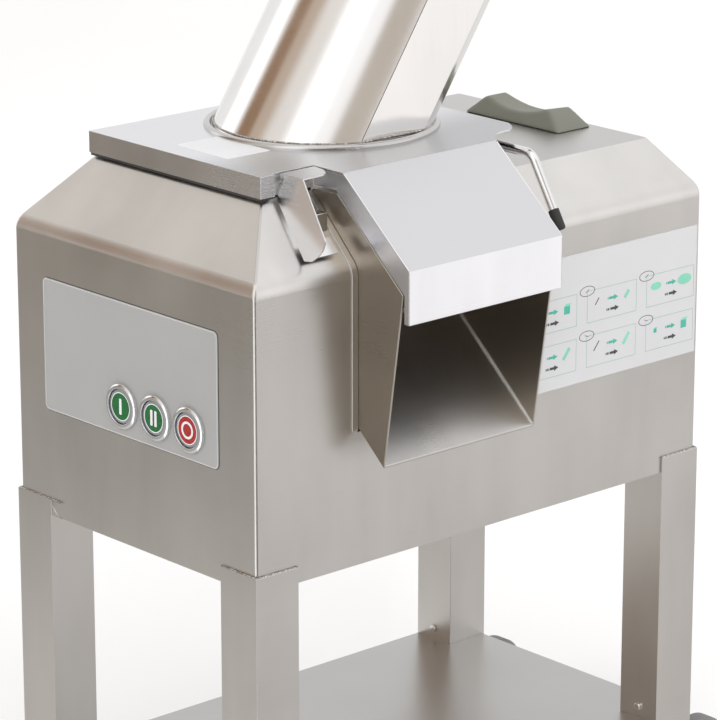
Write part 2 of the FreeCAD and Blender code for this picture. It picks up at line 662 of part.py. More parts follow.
def make_loading_tray():
    floor = "(lid_top + tube_height)"
    outer = flared_box("tray_outer", "(tray_long / 2)", "(tray_deep / 2)", floor, "tray_top", "tray_flare")
    inner = flared_box("tray_inner", "(tray_long / 2 - skin)", "(tray_deep / 2 - skin)", floor + " + skin",
                       "tray_top + skin", "tray_flare")
    mouth = tube_solid("tray_mouth", "tube_radius - 2", "facet_offset - 2", "lid_top", "tube_height + 20")
    keep("loading_tray", cut("tray_dish", outer, [inner, mouth]))


def make_tray_rim():
    """The rolled edge that runs outside the top of the tray."""
    outside = size("tray_flare") + size("rim_radius")
    along = size("tray_long") / 2 + outside
    deep = size("tray_deep") / 2 + outside
    path = rounded_loop(along, deep, 6)
    circle = Part.Circle(FreeCAD.Vector(0, -deep, 0), FreeCAD.Vector(1, 0, 0), size("rim_radius"))
    rim = doc.addObject("Part::Feature", "rolled_edge")
    rim.Shape = path.makePipeShell([Part.Wire(circle.toShape())], True, True)
    place(rim, ("core_across + tube_height * tube_lean", "core_deep", "tray_top"))
    dish = flared_box("rim_seat", "(tray_long / 2)", "(tray_deep / 2)", "(lid_top + tube_height)",
                      "tray_top", "tray_flare")
    keep("tray_rim", cut("rim_seated", rim, [dish]))


def rounded_loop(along, deep, turn):
    """A rectangle with round corners as a wire in the XY plane, centred on the origin."""
    edges = []
    corners = [(1, -1, -90), (1, 1, 0), (-1, 1, 90), (-1, -1, 180)]
    last = FreeCAD.Vector(0, -deep, 0)
    for sx, sy, begin in corners:
        centre = FreeCAD.Vector(sx * (along - turn), sy * (deep - turn), 0)
        arc = Part.ArcOfCircle(Part.Circle(centre, FreeCAD.Vector(0, 0, 1), turn),
                               math.radians(begin), math.radians(begin + 90))
        edges.append(Part.LineSegment(last, arc.StartPoint).toShape())
        edges.append(arc.toShape())
        last = arc.EndPoint
    edges.append(Part.LineSegment(last, FreeCAD.Vector(0, -deep, 0)).toShape())
    return Part.Wire(edges)


# --- hinge and latch -----------------------------------------------------------------------------

def hinge_bore(name):
    start = ("hinge_across", "-300", "hinge_height")
    return rod(name, "pin_radius + run_gap", start, "600", "Y")


def make_hinge():
    """Ears on the roof and lugs under the lid, bored for the pull-out pin."""
    wide = "6"
    right = "hinge_across + eye_radius"
    left = DECK_END + " + 0.5"
    ears = []
    for start in ("-98", "100"):
        end = start + " + " + wide
        eye = rod("ear_round", "eye_radius", ("hinge_across", start, "hinge_height"), wide, "Y")
        post = block("ear_post", (left, start, ROOF), (right, end, "hinge_height"))
        foot = block("ear_foot", (left, start + " - 12", ROOF), (right, end, ROOF + " + 3"))
        ears.append(fuse("hinge_ear", [eye, post, foot]))
    keep("hinge_brackets", cut("brackets_bored", group("ears_group", ears), [hinge_bore("ear_bore")]))
    lugs = []
    for start in ("-91.7", "93.7"):
        end = start + " + " + wide
        eye = rod("lug_round", "eye_radius", ("hinge_across", start, "hinge_height"), wide, "Y")
        arm = block("lug_arm", ("hinge_across - eye_radius", start, "hinge_height"),
                    (right, end, "lid_top - lid_sheet"))
        lugs.append(fuse("lid_lug", [eye, arm]))
    keep("lid_lugs", cut("lugs_bored", group("lugs_group", lugs), [hinge_bore("lug_bore")]))


def rod_path():
    """The pin's centre line: straight through the hinge, one bend, and the tail that hangs down."""
    angle = math.radians(size("rod_drop"))
    bend = size("rod_bend_radius")
    x = size("hinge_across")
    z = size("hinge_height")
    y = size("rod_bend_start")
    start = FreeCAD.Vector(x, size("rod_end"), z)
    knee = FreeCAD.Vector(x, y, z)
    out = FreeCAD.Vector(0, -math.cos(angle), -math.sin(angle))

    def on_bend(part):
        turn = angle * part
        return FreeCAD.Vector(x, y - bend * math.sin(turn), z - bend * (1 - math.cos(turn)))
    end = on_bend(1)
    tip = end + out * size("rod_tail")
    return start, knee, on_bend(0.5), end, tip, out


def make_hinge_rod():
    start, knee, middle, end, tip, out = rod_path()
    path = Part.Wire([Part.LineSegment(start, knee).toShape(), Part.Arc(knee, middle, end).toShape(),
                      Part.LineSegment(end, tip).toShape()])
    circle = Part.Circle(start, FreeCAD.Vector(0, 1, 0), size("pin_radius"))
    thing = doc.addObject("Part::Feature", "hinge_rod")
    thing.Shape = path.makePipeShell([Part.Wire(circle.toShape())], True, True)
    keep("hinge_rod", thing)
    cap = doc.addObject("Part::Feature", "rod_cap")
    length = 22
    outer = Part.makeCylinder(7, length, tip - out * (length - 4), out)
    inner = Part.makeCylinder(size("pin_radius"), length - 4, tip - out * (length - 4), out)
    solid = outer.cut(inner)
    far = [edge for edge in solid.Edges if (edge.CenterOfMass - (tip + out * 4)).Length < 0.5]
    cap.Shape = solid.makeFillet(2.5, far)
    keep("rod_cap", cap)


def tilted_plate(name, points, start, length):
    """A pad in the plane of the lever's side plate, which leans out from the pin."""
    plate = pad(name, "YZ", points, start, length)
    plate.Placement.Rotation = FreeCAD.Rotation(FreeCAD.Vector(0, 1, 0), size("lever_tilt"))
    place(plate, ("latch_left - 1.36", "latch_deep", "latch_height"))
    return plate


def make_latch_lever():
    """A folded strap: top plate, leaning side plate, the web that joins its foot, and the knuckle."""
    top_points = [("latch_left", "latch_deep + 3.5"), ("latch_left", "latch_deep - 29"),
                  ("latch_right - 11", "latch_deep - 27.5"), ("latch_right - 4", "latch_deep - 24.5"),
                  ("latch_right + 3", "latch_deep - 14"), ("latch_right + 6", "latch_deep + 3.5")]
    top = pad("lever_top", "XY", top_points, "lid_top - 1.5", "1.5")
    side_points = [("3.5", "7.4"), ("3.5", "-19"), ("-47", "-70"), ("-57", "-68.5"), ("-65", "-63"),
                   ("-71", "-55"), ("-73", "-46"), ("-29", "7.4")]
    side = tilted_plate("lever_side", side_points, "0", "1.5")
    web_points = [("-180", "714.2"), ("-166.5", "727.7"), ("-167.6", "728.8"), ("-181.1", "715.3")]
    web = pad("lever_foot", "YZ", web_points, "latch_left - 16", "45.5")
    beyond = [("10", "20"), ("-100", "20"), ("-100", "-100"), ("10", "-100")]
    foot = cut("lever_foot_trimmed", web, [tilted_plate("lever_beyond", beyond, "-20", "20")])
    neck = block("lever_neck", ("latch_left + 13", "latch_deep - 2", "latch_height"),
                 ("latch_right - 13", "latch_deep + 2", "lid_top - 1"))
    knuckle = rod("lever_knuckle", "5.2", ("latch_left + 13", "latch_deep", "latch_height"),
                  "latch_right - latch_left - 26", "X")
    solid = fuse("lever_folded", [top, side, foot, neck, knuckle])
    bore = rod("lever_bore", "3 + run_gap", ("latch_left - 20", "latch_deep", "latch_height"), "80", "X")
    keep("latch_lever", cut("lever_bored", solid, [bore]))


def make_latch():
    """The latch's lever, the pin it swings on and the catch on the housing's slope."""
    pin = rod("latch_pin_rod", "3", ("latch_left + 4", "latch_deep", "latch_height"),
              "latch_right - latch_left - 8", "X")
    keep("latch_pin", pin)
    make_latch_lever()
    slope = "(%s + %s + catch_face)" % (BEND, SIDE)
    tall = "18.8"
    profile = [("catch_face", slope), ("catch_face", "%s + %s" % (slope, tall)),
               ("catch_face + " + tall, "%s + %s" % (slope, tall))]
    keep("latch_catch", pad("catch_block", "YZ", profile, "catch_left", "14"))


# --- gasket, bumper and small fittings -----------------------------------------------------------

def make_gasket():
    outer = block("gasket_outer", ("-%s + deck_rise + 1" % END, "-%s + deck_rise + 1" % SIDE, DECK),
                  (DECK_END + " - 1", SIDE + " - back_inset - 1", DECK + " + 2.6"))
    inner = block("gasket_inner", ("-%s + deck_rise + 8" % END, "-%s + deck_rise + 8" % SIDE, DECK + " - 1"),
                  (DECK_END + " + 5", SIDE + " - back_inset - 8", DECK + " + 5"))
    gap = block("gasket_gap", ("chute_left - 1", "-%s" % SIDE, DECK + " - 1"),
                (DECK_END + " + 5", "-50", DECK + " + 5"))
    keep("deck_gasket", cut("gasket_strip", outer, [inner, gap]))


def wedge_block(name):
    """A block whose four sides lean in: steep along the housing, gentle across it."""
    thing = doc.addObject("Part::Wedge", name)
    values = {"Xmin": "0", "Xmax": "saddle_length", "Ymin": "0", "Ymax": "saddle_height",
              "Zmin": "-saddle_half", "Zmax": "saddle_half",
              "X2min": "10", "X2max": "saddle_length - 10",
              "Z2min": "-saddle_half + saddle_ramp", "Z2max": "saddle_half - saddle_ramp"}
    for prop, value in values.items():
        bind(thing, prop, value)
    thing.Placement.Rotation = FreeCAD.Rotation(FreeCAD.Vector(1, 0, 0), 90)
    place(thing, ("saddle_left", "core_deep", ROOF))
    return thing


def make_saddle():
    """A rubber block with a groove that takes the feed tube when the lid is tipped open."""
    groove = doc.addObject("Part::Cylinder", "saddle_groove_tool")
    bind(groove, "Radius", "saddle_groove")
    bind(groove, "Height", "200")
    groove.Placement.Rotation = FreeCAD.Rotation(FreeCAD.Vector(0, 1, 0), 90 + size("saddle_tilt"))
    tilt = math.radians(size("saddle_tilt"))
    across, up = math.cos(tilt), math.sin(tilt)
    middle = "saddle_left + saddle_length / 2"
    place(groove, ("%s - 100 * %.5f + saddle_groove * %.5f" % (middle, across, up), "core_deep",
                   "%s + saddle_low + 100 * %.5f + saddle_groove * %.5f" % (ROOF, up, across)))
    keep("saddle_bumper", cut("saddle_grooved", wedge_block("saddle_block"), [groove]))


def make_small_fittings():
    """Electrical box, cable gland, lid switch and its magnet."""
    outer = block("box_outer", ("-290", "45", "base_height + skin"),
                  ("-170", "160", "base_height + 100"))
    inner = block("box_inner", ("-288", "47", "base_height + skin + 2"),
                  ("-172", "158", "base_height + 98"))
    keep("electrical_box", cut("box_shell", outer, [inner]))
    neck = tube("gland_neck", "10", "5", ("250", SIDE + " - 8", "base_height + 50"), "26", "Y")
    collar = tube("gland_collar", "14", "9", ("250", SIDE + " + 0.3", "base_height + 50"), "8", "Y")
    nut = tube("gland_nut", "13", "9", ("250", SIDE + " - 8", "base_height + 50"), "5", "Y")
    keep("cable_gland", fuse("gland", [neck, collar, nut]))
    switch = block("reed_switch", ("-240", "100", DECK + " - 24"), ("-205", "120", DECK + " - 4"))
    keep("lid_switch", switch)
    magnet = rod("magnet_disc", "8", ("-222", "110", "lid_top - lid_sheet - 8"), "8")
    keep("lid_magnet", magnet)


# --- drive ---------------------------------------------------------------------------------------

def pulley(name, radius, bore, across):
    """A flat-sided pulley whose groove takes the belt."""
    low = "(belt_height - belt_width / 2 - 9)"
    high = "(belt_height + belt_width / 2 + 9)"
    groove = "(%s - belt_thick - 1)" % radius
    slot_low = "(belt_height - belt_width / 2 - fit_gap)"
    slot_high = "(belt_height + belt_width / 2 + fit_gap)"
    points = [(bore, low), (radius, low), (radius, slot_low), (groove, slot_low), (groove, slot_high),
              (radius, slot_high), (radius, high), (bore, high)]
    return turned(name, points, (across, "core_deep", "0"))


def spoke(name, low, high, across, angle):
    """A box that lies along a radius of an upright axis, turned about that axis."""
    turn = math.radians(angle)
    thing = block(name, low, high)
    thing.Placement.Rotation = FreeCAD.Rotation(FreeCAD.Vector(0, 0, 1), angle)
    c, s = math.cos(turn), math.sin(turn)
    place(thing, ("%s + (%s) * %.6f - (%s) * %.6f" % (across, low[0], c, low[1], s),
                  "core_deep + (%s) * %.6f + (%s) * %.6f" % (low[0], s, low[1], c), low[2]))
    return thing


def make_ejector():
    """The disc under the slicer whose three vanes throw the cut pieces into the chute."""
    hub = [("shaft_radius", "619"), ("98", "619"), ("98", "622"), ("26", "622"), ("22", "650"),
           ("shaft_radius", "650")]
    pieces = [turned("ejector_plate", hub, ("core_across", "core_deep", "0"))]
    for angle in (0, 120, 240):
        vane = spoke("ejector_vane", ("20", "-1.5", "621"), ("94", "1.5", "648"), "core_across", angle)
        pieces.append(vane)
    keep("ejector_disc", fuse("ejector", pieces))


def make_cutter():
    """Everything that turns with the cutting disc."""
    at = ("core_across", "core_deep", "405")
    keep("disc_shaft", rod("cutter_shaft", "shaft_radius", at, "344"))
    keep("driven_pulley", pulley("big_wheel", "big_pulley", "shaft_radius", "core_across"))
    make_ejector()
    disc = [("shaft_radius", "725"), ("24", "725"), ("24", "741"), ("106", "741"), ("106", "744"),
            ("24", "744"), ("24", "746"), ("shaft_radius", "746")]
    plate = turned("slicer_plate", disc, ("core_across", "core_deep", "0"))
    slots = []
    blades = []
    for angle in (0, 120, 240):
        slots.append(spoke("disc_slot", ("34", "4", "738"), ("100", "14", "748"), "core_across", angle))
        low, high = ("32", "-8", "744.2"), ("102", "5", "745.8")
        blades.append(spoke("disc_blade", low, high, "core_across", angle))
    keep("cutting_disc", cut("slicer_slotted", plate, slots))
    keep("disc_blades", group("blade_group", blades))
    knob = [("0", "749.2"), ("18", "749.2"), ("18", "757"), ("12", "763"), ("0", "764")]
    keep("disc_knob", turned("knob_body", knob, ("core_across", "core_deep", "0")))


def make_bearing_housing():
    points = [("22", "470"), ("30", "470"), ("30", "596"), ("52", "598"), ("52", "608.8"), ("22", "608.8")]
    keep("bearing_housing", turned("bearing_tube", points, ("core_across", "core_deep", "0")))
    rings = []
    for height in ("480", "585"):
        at = ("core_across", "core_deep", height)
        rings.append(tube("cutter_bearing", "21.97", "shaft_radius + run_gap", at, "14"))
    for height in ("472", "681"):
        at = ("motor_across", "core_deep", height)
        rings.append(tube("motor_bearing", "12.97", "rotor_radius + run_gap", at, "8"))
    keep("shaft_bearings", group("bearing_group", rings))


def make_belt():
    """The belt's loop: two arcs and two straight runs, as the difference of two such outlines."""
    def loop(big, small, low, high):
        gap = size("motor_across") - size("core_across")
        lean = math.asin((big - small) / gap)
        y = size("core_deep")
        points = []
        for side in (1, -1):
            normal = FreeCAD.Vector(math.sin(lean), side * math.cos(lean), 0)
            points.append(FreeCAD.Vector(size("core_across"), y, low) + normal * big)
            points.append(FreeCAD.Vector(size("motor_across"), y, low) + normal * small)
        ring = Part.makePolygon([points[0], points[1], points[3], points[2], points[0]])
        solid = Part.Face(ring).extrude(FreeCAD.Vector(0, 0, high - low))
        for across, radius in ((size("core_across"), big), (size("motor_across"), small)):
            solid = solid.fuse(Part.makeCylinder(radius, high - low, FreeCAD.Vector(across, y, low)))
        return solid.removeSplitter()
    low = size("belt_height") - size("belt_width") / 2
    high = size("belt_height") + size("belt_width") / 2
    seat = size("belt_thick") + 0.6
    outer = loop(size("big_pulley") - 0.6, size("small_pulley") - 0.6, low, high)
    inner = loop(size("big_pulley") - seat, size("small_pulley") - seat, low - 1, high + 1)
    belt = doc.addObject("Part::Feature", "belt")
    belt.Shape = outer.cut(inner)
    keep("drive_belt", belt)


def make_motor_casing():
    """A finned tube with a flat cap at each end."""
    at = ("motor_across", "core_deep", "480")
    pieces = [tube("casing_tube", "motor_radius", "motor_radius - 6", at, "200")]
    for number in range(16):
        low = ("motor_radius - 1", "0", "490")
        high = ("motor_radius + 7", "2.5", "670")
        pieces.append(spoke("casing_fin", low, high, "motor_across", 22.5 * number))
    keep("motor_casing", fuse("casing_finned", pieces))
    caps = []
    for height in ("470", "680"):
        caps.append(tube("end_cap", "motor_radius", "13", ("motor_across", "core_deep", height), "10"))
    keep("motor_end_caps", group("cap_group", caps))


def make_motor():
    make_motor_casing()
    stator_at = ("motor_across", "core_deep", "510")
    keep("motor_stator", tube("stator", "motor_radius - 6.2", "61", stator_at, "140"))
    drum = [("0", "406"), ("rotor_radius", "406"), ("rotor_radius", "500"), ("60", "500"), ("60", "660"),
            ("rotor_radius", "660"), ("rotor_radius", "712"), ("0", "712")]
    keep("motor_rotor", turned("rotor_body", drum, ("motor_across", "core_deep", "0")))
    keep("drive_pulley", pulley("small_wheel", "small_pulley", "rotor_radius", "motor_across"))
    plate = [("rotor_radius", "694"), ("70", "694"), ("70", "697"), ("14", "697"), ("14", "708"),
             ("rotor_radius", "708")]
    pieces = [turned("fan_plate", plate, ("motor_across", "core_deep", "0"))]
    for number in range(6):
        pieces.append(spoke("fan_vane", ("16", "0", "696"), ("68", "2", "712"), "motor_across", 60 * number))
    keep("motor_fan", fuse("fan", pieces))


def make_motor_mount():
    plate = block("mount_plate", ("95", "-85", "464"), ("285", "100", "470"))
    posts = []
    for x in ("107", "273"):
        for y in ("-73", "88"):
            at = (x, y, "base_height + skin")
            posts.append(rod("mount_post", "7", at, "464 - base_height - skin + 1"))
    solid = fuse("mount_solid", [plate] + posts)
    hole = rod("mount_hole", "30", ("motor_across", "core_deep", "450"), "30")
    keep("motor_mount", cut("mount_bored", solid, [hole]))


def build():
    make_housing()
    make_base_plate()
    make_plate_screws()
    make_legs()
    make_leg_feet()
    make_shelf()
    make_wheel("wheel_chute", -1)
    make_wheel("wheel_back", 1)
    make_wheel_forks()
    make_wheel_axles()
    make_control_plate()
    make_buttons()
    make_guide_label()
    make_bowl()
    make_chute()
    make_chute_strips()
    make_lid()
    make_chute_cover()
    make_feed_tube()
    make_weld_ring()
    make_loading_tray()
    make_tray_rim()
    make_hinge()
    make_hinge_rod()
    make_latch()
    make_gasket()
    make_saddle()
    make_small_fittings()
    make_cutter()
    make_bearing_housing()
    make_belt()
    make_motor()
    make_motor_mount()
    doc.recompute()


def export():
    faults = []
    for thing in doc.Objects:
        if "Invalid" in thing.State or "Error" in thing.State:
            faults.append("%s is %s" % (thing.Label, thing.State))
    for name, thing in nodes.items():
        if thing.Shape.isNull() or not thing.Shape.isValid() or not thing.Shape.Solids:
            faults.append("%s has no valid solid" % name)
    if faults:
        raise SystemExit("\n".join(faults))
    os.makedirs("parts", exist_ok=True)
    for name, thing in nodes.items():
        thing.Shape.exportStep("parts/%s.step" % name)
        box = thing.Shape.BoundBox
        print("%-18s %d solid  %9.1f cm3  x %7.1f %7.1f  y %7.1f %7.1f  z %7.1f %7.1f"
              % (name, len(thing.Shape.Solids), thing.Shape.Volume / 1000,
                 box.XMin, box.XMax, box.YMin, box.YMax, box.ZMin, box.ZMax))


build()
export()
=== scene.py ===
import json
import math
import random
import bmesh
import bpy
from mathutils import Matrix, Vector


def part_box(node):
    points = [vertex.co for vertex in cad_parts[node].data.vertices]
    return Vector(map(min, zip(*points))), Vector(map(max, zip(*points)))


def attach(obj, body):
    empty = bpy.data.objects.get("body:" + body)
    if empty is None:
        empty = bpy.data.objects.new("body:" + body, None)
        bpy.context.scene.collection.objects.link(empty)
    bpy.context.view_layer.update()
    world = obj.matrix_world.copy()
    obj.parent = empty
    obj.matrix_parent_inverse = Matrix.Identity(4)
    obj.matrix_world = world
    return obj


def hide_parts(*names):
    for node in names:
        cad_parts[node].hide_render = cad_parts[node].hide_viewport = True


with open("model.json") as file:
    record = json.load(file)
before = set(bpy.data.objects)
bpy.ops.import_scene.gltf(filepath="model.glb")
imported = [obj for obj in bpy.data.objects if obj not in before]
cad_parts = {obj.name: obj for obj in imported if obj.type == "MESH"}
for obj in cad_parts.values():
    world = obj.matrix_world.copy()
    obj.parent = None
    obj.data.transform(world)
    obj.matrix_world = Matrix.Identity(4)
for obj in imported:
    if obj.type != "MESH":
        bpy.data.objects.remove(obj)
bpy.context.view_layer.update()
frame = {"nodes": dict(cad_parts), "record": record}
NODES = frame["nodes"]
BODY_OF = {node: body for body, nodes in frame["record"]["behaviour"]["bodies"].items() for node in nodes}
SLOT_OF = {part["node"]: part["material_slot"] for part in frame["record"]["subparts"]}
random.seed(7)

# Directions of a flat drawing: across, up, and out of the face it lies on.
END_WALL = (Vector((0, -1, 0)), Vector((0, 0, 1)), Vector((-1, 0, 0)))
FRONT_WALL = (Vector((1, 0, 0)), Vector((0, 0, 1)), Vector((0, -1, 0)))
LID_TOP = (Vector((1, 0, 0)), Vector((0, 1, 0)), Vector((0, 0, 1)))


# --- shader helpers ------------------------------------------------------------------------------

def start(name):
    made = bpy.data.materials.new(name)
    made.use_nodes = True
    return made, made.node_tree, made.node_tree.nodes["Principled BSDF"]


def add(tree, kind, values=None, **settings):
    """A node whose inputs are numbers or other nodes' outputs."""
    node = tree.nodes.new(kind)
    for key, value in settings.items():
        setattr(node, key, value)
    for key, value in (values or {}).items():
        if isinstance(value, bpy.types.NodeSocket):
            tree.links.new(value, node.inputs[key])
        else:
            node.inputs[key].default_value = value
    return node


def maths(tree, operation, *values):
    return add(tree, "ShaderNodeMath", dict(enumerate(values)), operation=operation).outputs[0]


def noise(tree, vector, scale, detail=2.0, rough=0.5):
    values = {"Vector": vector, "Scale": scale, "Detail": detail, "Roughness": rough}
    return add(tree, "ShaderNodeTexNoise", values).outputs["Fac"]


def stretched(tree, vector, scale, turn=(0, 0, 0)):
    return add(tree, "ShaderNodeMapping", {"Vector": vector, "Scale": scale, "Rotation": turn}).outputs[0]


def ranged(tree, value, low, high, to_low=0.0, to_high=1.0, smooth=False):
    values = {"Value": value, "From Min": low, "From Max": high, "To Min": to_low, "To Max": to_high}
    kind = "SMOOTHSTEP" if smooth else "LINEAR"
    return add(tree, "ShaderNodeMapRange", values, interpolation_type=kind).outputs["Result"]


def blend(tree, factor, first, second):
    """A colour between two: each is three numbers or another node's output."""
    node = add(tree, "ShaderNodeMix", data_type="RGBA")
    for socket, value in ((node.inputs[0], factor), (node.inputs[6], first), (node.inputs[7], second)):
        if isinstance(value, bpy.types.NodeSocket):
            tree.links.new(value, socket)
        elif isinstance(value, (tuple, list)):
            socket.default_value = (*value, 1.0)
        else:
            socket.default_value = value
    return node.outputs[2]


def axis_of(tree, vector, axis):
    return add(tree, "ShaderNodeSeparateXYZ", {0: vector}).outputs[axis]


def scaled(colour, by):
    return tuple(min(1.0, c * by) for c in colour)


def bumped(tree, height, distance, strength=1.0, normal=None):
    values = {"Height": height, "Distance": distance, "Strength": strength}
    if normal is not None:
        values["Normal"] = normal
    return add(tree, "ShaderNodeBump", values).outputs["Normal"]


def wire(tree, shader, **sockets):
    for name, value in sockets.items():
        socket = shader.inputs[name.replace("_", " ")]
        if isinstance(value, bpy.types.NodeSocket):
            tree.links.new(value, socket)
        else:
            socket.default_value = value


# --- materials -----------------------------------------------------------------------------------

STREAK_DEPTH = 0.000002  # metres


def steel(name, colour, rough, grain=0.018, wave=0.0006, level=True, flat_painted_shade=1.0, fleck=0.5,
          slope_painted_shade=1.0, lean=0.0, painted_reflection_shade=1.0, side=None):
    """Brushed sheet: fine streaks, soft blotches, stray scratches and a slight waviness.

    grain, fleck: how much the streaks change the gloss and the colour.
    wave: height of the waviness in metres. level: whether the streaks on upright faces run level.
    flat_painted_shade, slope_painted_shade: painted shade, the tones of flat and of sloping faces.
    painted_reflection_shade: painted reflection of the feed tube, the tone of flat faces at the chute side.
    side: painted reflection, the colour of the faces that point along x.
    lean: how far the front faces' shading is tipped upwards.
    """
    made, tree, shader = start(name)
    place = add(tree, "ShaderNodeTexCoord")
    here = place.outputs["Object"]
    facing = place.outputs["Normal"]
    up = axis_of(tree, facing, "Z")
    flat = maths(tree, "GREATER_THAN", maths(tree, "ABSOLUTE", up), 0.75)
    walls = stretched(tree, here, (14, 14, 1300) if level else (900, 900, 14))
    flats = stretched(tree, here, (14, 1300, 14))
    lines = add(tree, "ShaderNodeMix", {0: flat}, data_type="VECTOR")
    tree.links.new(walls, lines.inputs[4])
    tree.links.new(flats, lines.inputs[5])
    streaks = noise(tree, lines.outputs[1], 1.0, 3.0, 0.6)
    blotches = noise(tree, here, 7.0, 4.0, 0.55)
    broad = noise(tree, here, 2.6, 1.0)
    slanted = stretched(tree, here, (40, 1900, 700), (0.3, 0.5, 0.9))
    scratches = ranged(tree, noise(tree, slanted, 0.5, 1.0), 0.74, 0.80, smooth=True)
    rubbed = noise(tree, stretched(tree, here, (11, 11, 2.2)), 1.0, 3.0, 0.6)
    tone = blend(tree, ranged(tree, blotches, 0.3, 0.7), scaled(colour, 0.90), colour)
    tone = blend(tree, ranged(tree, rubbed, 0.38, 0.68, 0.0, 0.8), tone, scaled(colour, 1.05))
    tone = blend(tree, ranged(tree, streaks, 0.35, 0.75, 0.0, fleck), tone, scaled(colour, 1.08))
    # Painted shade: flat faces get a tone of their own.
    if flat_painted_shade != 1.0:
        tone = blend(tree, flat, tone, scaled(colour, flat_painted_shade))
    # Painted reflection of the feed tube: flat faces darken towards the chute side.
    if painted_reflection_shade != 1.0:
        near = ranged(tree, axis_of(tree, here, "Y"), 0.0, -0.11, smooth=True)
        tone = blend(tree, maths(tree, "MULTIPLY", near, flat), tone, scaled(colour, painted_reflection_shade))
    # Painted reflection: faces that point along x get a colour of their own.
    if side:
        endwise = maths(tree, "ABSOLUTE", axis_of(tree, facing, "X"))
        tone = blend(tree, maths(tree, "GREATER_THAN", endwise, 0.6), tone, side)
    # Painted shade: sloping faces get a tone of their own.
    if slope_painted_shade != 1.0:
        tone = blend(tree, maths(tree, "GREATER_THAN", up, 0.3), tone, scaled(colour, slope_painted_shade))
    tone = blend(tree, maths(tree, "MULTIPLY", scratches, 0.03), tone, scaled(colour, 0.7))
    gloss = maths(tree, "ADD", ranged(tree, streaks, 0.2, 0.8, rough - grain, rough + grain),
                  ranged(tree, blotches, 0.3, 0.7, -0.03, 0.04))
    relief = bumped(tree, broad, wave, 1.0, bumped(tree, streaks, STREAK_DEPTH, fleck))
    if lean:
        front = ranged(tree, axis_of(tree, facing, "Y"), -0.85, -0.97)
        lift = add(tree, "ShaderNodeCombineXYZ", {2: maths(tree, "MULTIPLY", front, lean)}).outputs[0]
        tipped = add(tree, "ShaderNodeVectorMath", {0: relief, 1: lift}, operation="ADD").outputs[0]
        relief = add(tree, "ShaderNodeVectorMath", {0: tipped}, operation="NORMALIZE").outputs[0]
    wire(tree, shader, Base_Color=tone, Metallic=1.0, Roughness=gloss, Normal=relief)
    return made


def plain(name, colour, rough, metallic=0.0, scale=60.0, relief=0.0001, spread=0.12):
    """Moulded, cast, painted or rubber surfaces: mottled colour and gloss over a fine texture."""
    made, tree, shader = start(name)
    here = add(tree, "ShaderNodeTexCoord").outputs["Object"]
    fine = noise(tree, here, scale * 12, 4.0, 0.6)
    soft = noise(tree, here, scale / 4, 3.0)
    dark = scaled(colour, 1 - spread)
    tone = blend(tree, ranged(tree, soft, 0.3, 0.7), dark, scaled(colour, 1 + spread))
    tone = blend(tree, ranged(tree, fine, 0.3, 0.8, 0.0, 0.25), tone, dark)
    gloss = ranged(tree, fine, 0.2, 0.8, rough - 0.06, rough + 0.08)
    wire(tree, shader, Base_Color=tone, Metallic=metallic, Roughness=gloss, Normal=bumped(tree, fine, relief))
    return made


def button_face(name, colour, middle):
    """A push button's cap: coloured disc, thin white ring and a grey rim about the button's middle."""
    made, tree, shader = start(name)
    here = add(tree, "ShaderNodeTexCoord").outputs["Object"]
    axes = add(tree, "ShaderNodeSeparateXYZ", {0: here})
    across = maths(tree, "SUBTRACT", axes.outputs["Y"], middle[1])
    upward = maths(tree, "SUBTRACT", axes.outputs["Z"], middle[2])
    reach = maths(tree, "SQRT", maths(tree, "ADD", maths(tree, "MULTIPLY", across, across),
                                      maths(tree, "MULTIPLY", upward, upward)))
    mottle = noise(tree, here, 140.0, 3.0)
    face = blend(tree, mottle, scaled(colour, 0.82), scaled(colour, 1.15))
    rim = blend(tree, mottle, (0.20, 0.21, 0.23), (0.26, 0.27, 0.29))
    ring = ranged(tree, reach, 0.0139, 0.0141)
    edge = ranged(tree, reach, 0.0147, 0.0150)
    tone = blend(tree, edge, blend(tree, ring, face, (0.82, 0.82, 0.81)), rim)
    gloss = ranged(tree, mottle, 0.3, 0.7, 0.24, 0.34)
    wire(tree, shader, Base_Color=tone, Roughness=gloss, Normal=bumped(tree, mottle, 0.00005))
    return made


def welded(name):
    """Bright metal in small round drops, darker between them."""
    made, tree, shader = start(name)
    here = add(tree, "ShaderNodeTexCoord").outputs["Object"]
    drops = add(tree, "ShaderNodeTexVoronoi", {"Vector": here, "Scale": 420.0}).outputs["Distance"]
    fine = noise(tree, here, 900.0, 3.0)
    tone = blend(tree, ranged(tree, drops, 0.1, 0.6), (0.80, 0.79, 0.78), (0.36, 0.33, 0.30))
    wire(tree, shader, Base_Color=tone, Metallic=1.0, Roughness=ranged(tree, fine, 0.3, 0.7, 0.12, 0.34),
         Normal=bumped(tree, drops, 0.0006, 0.8))
    return made
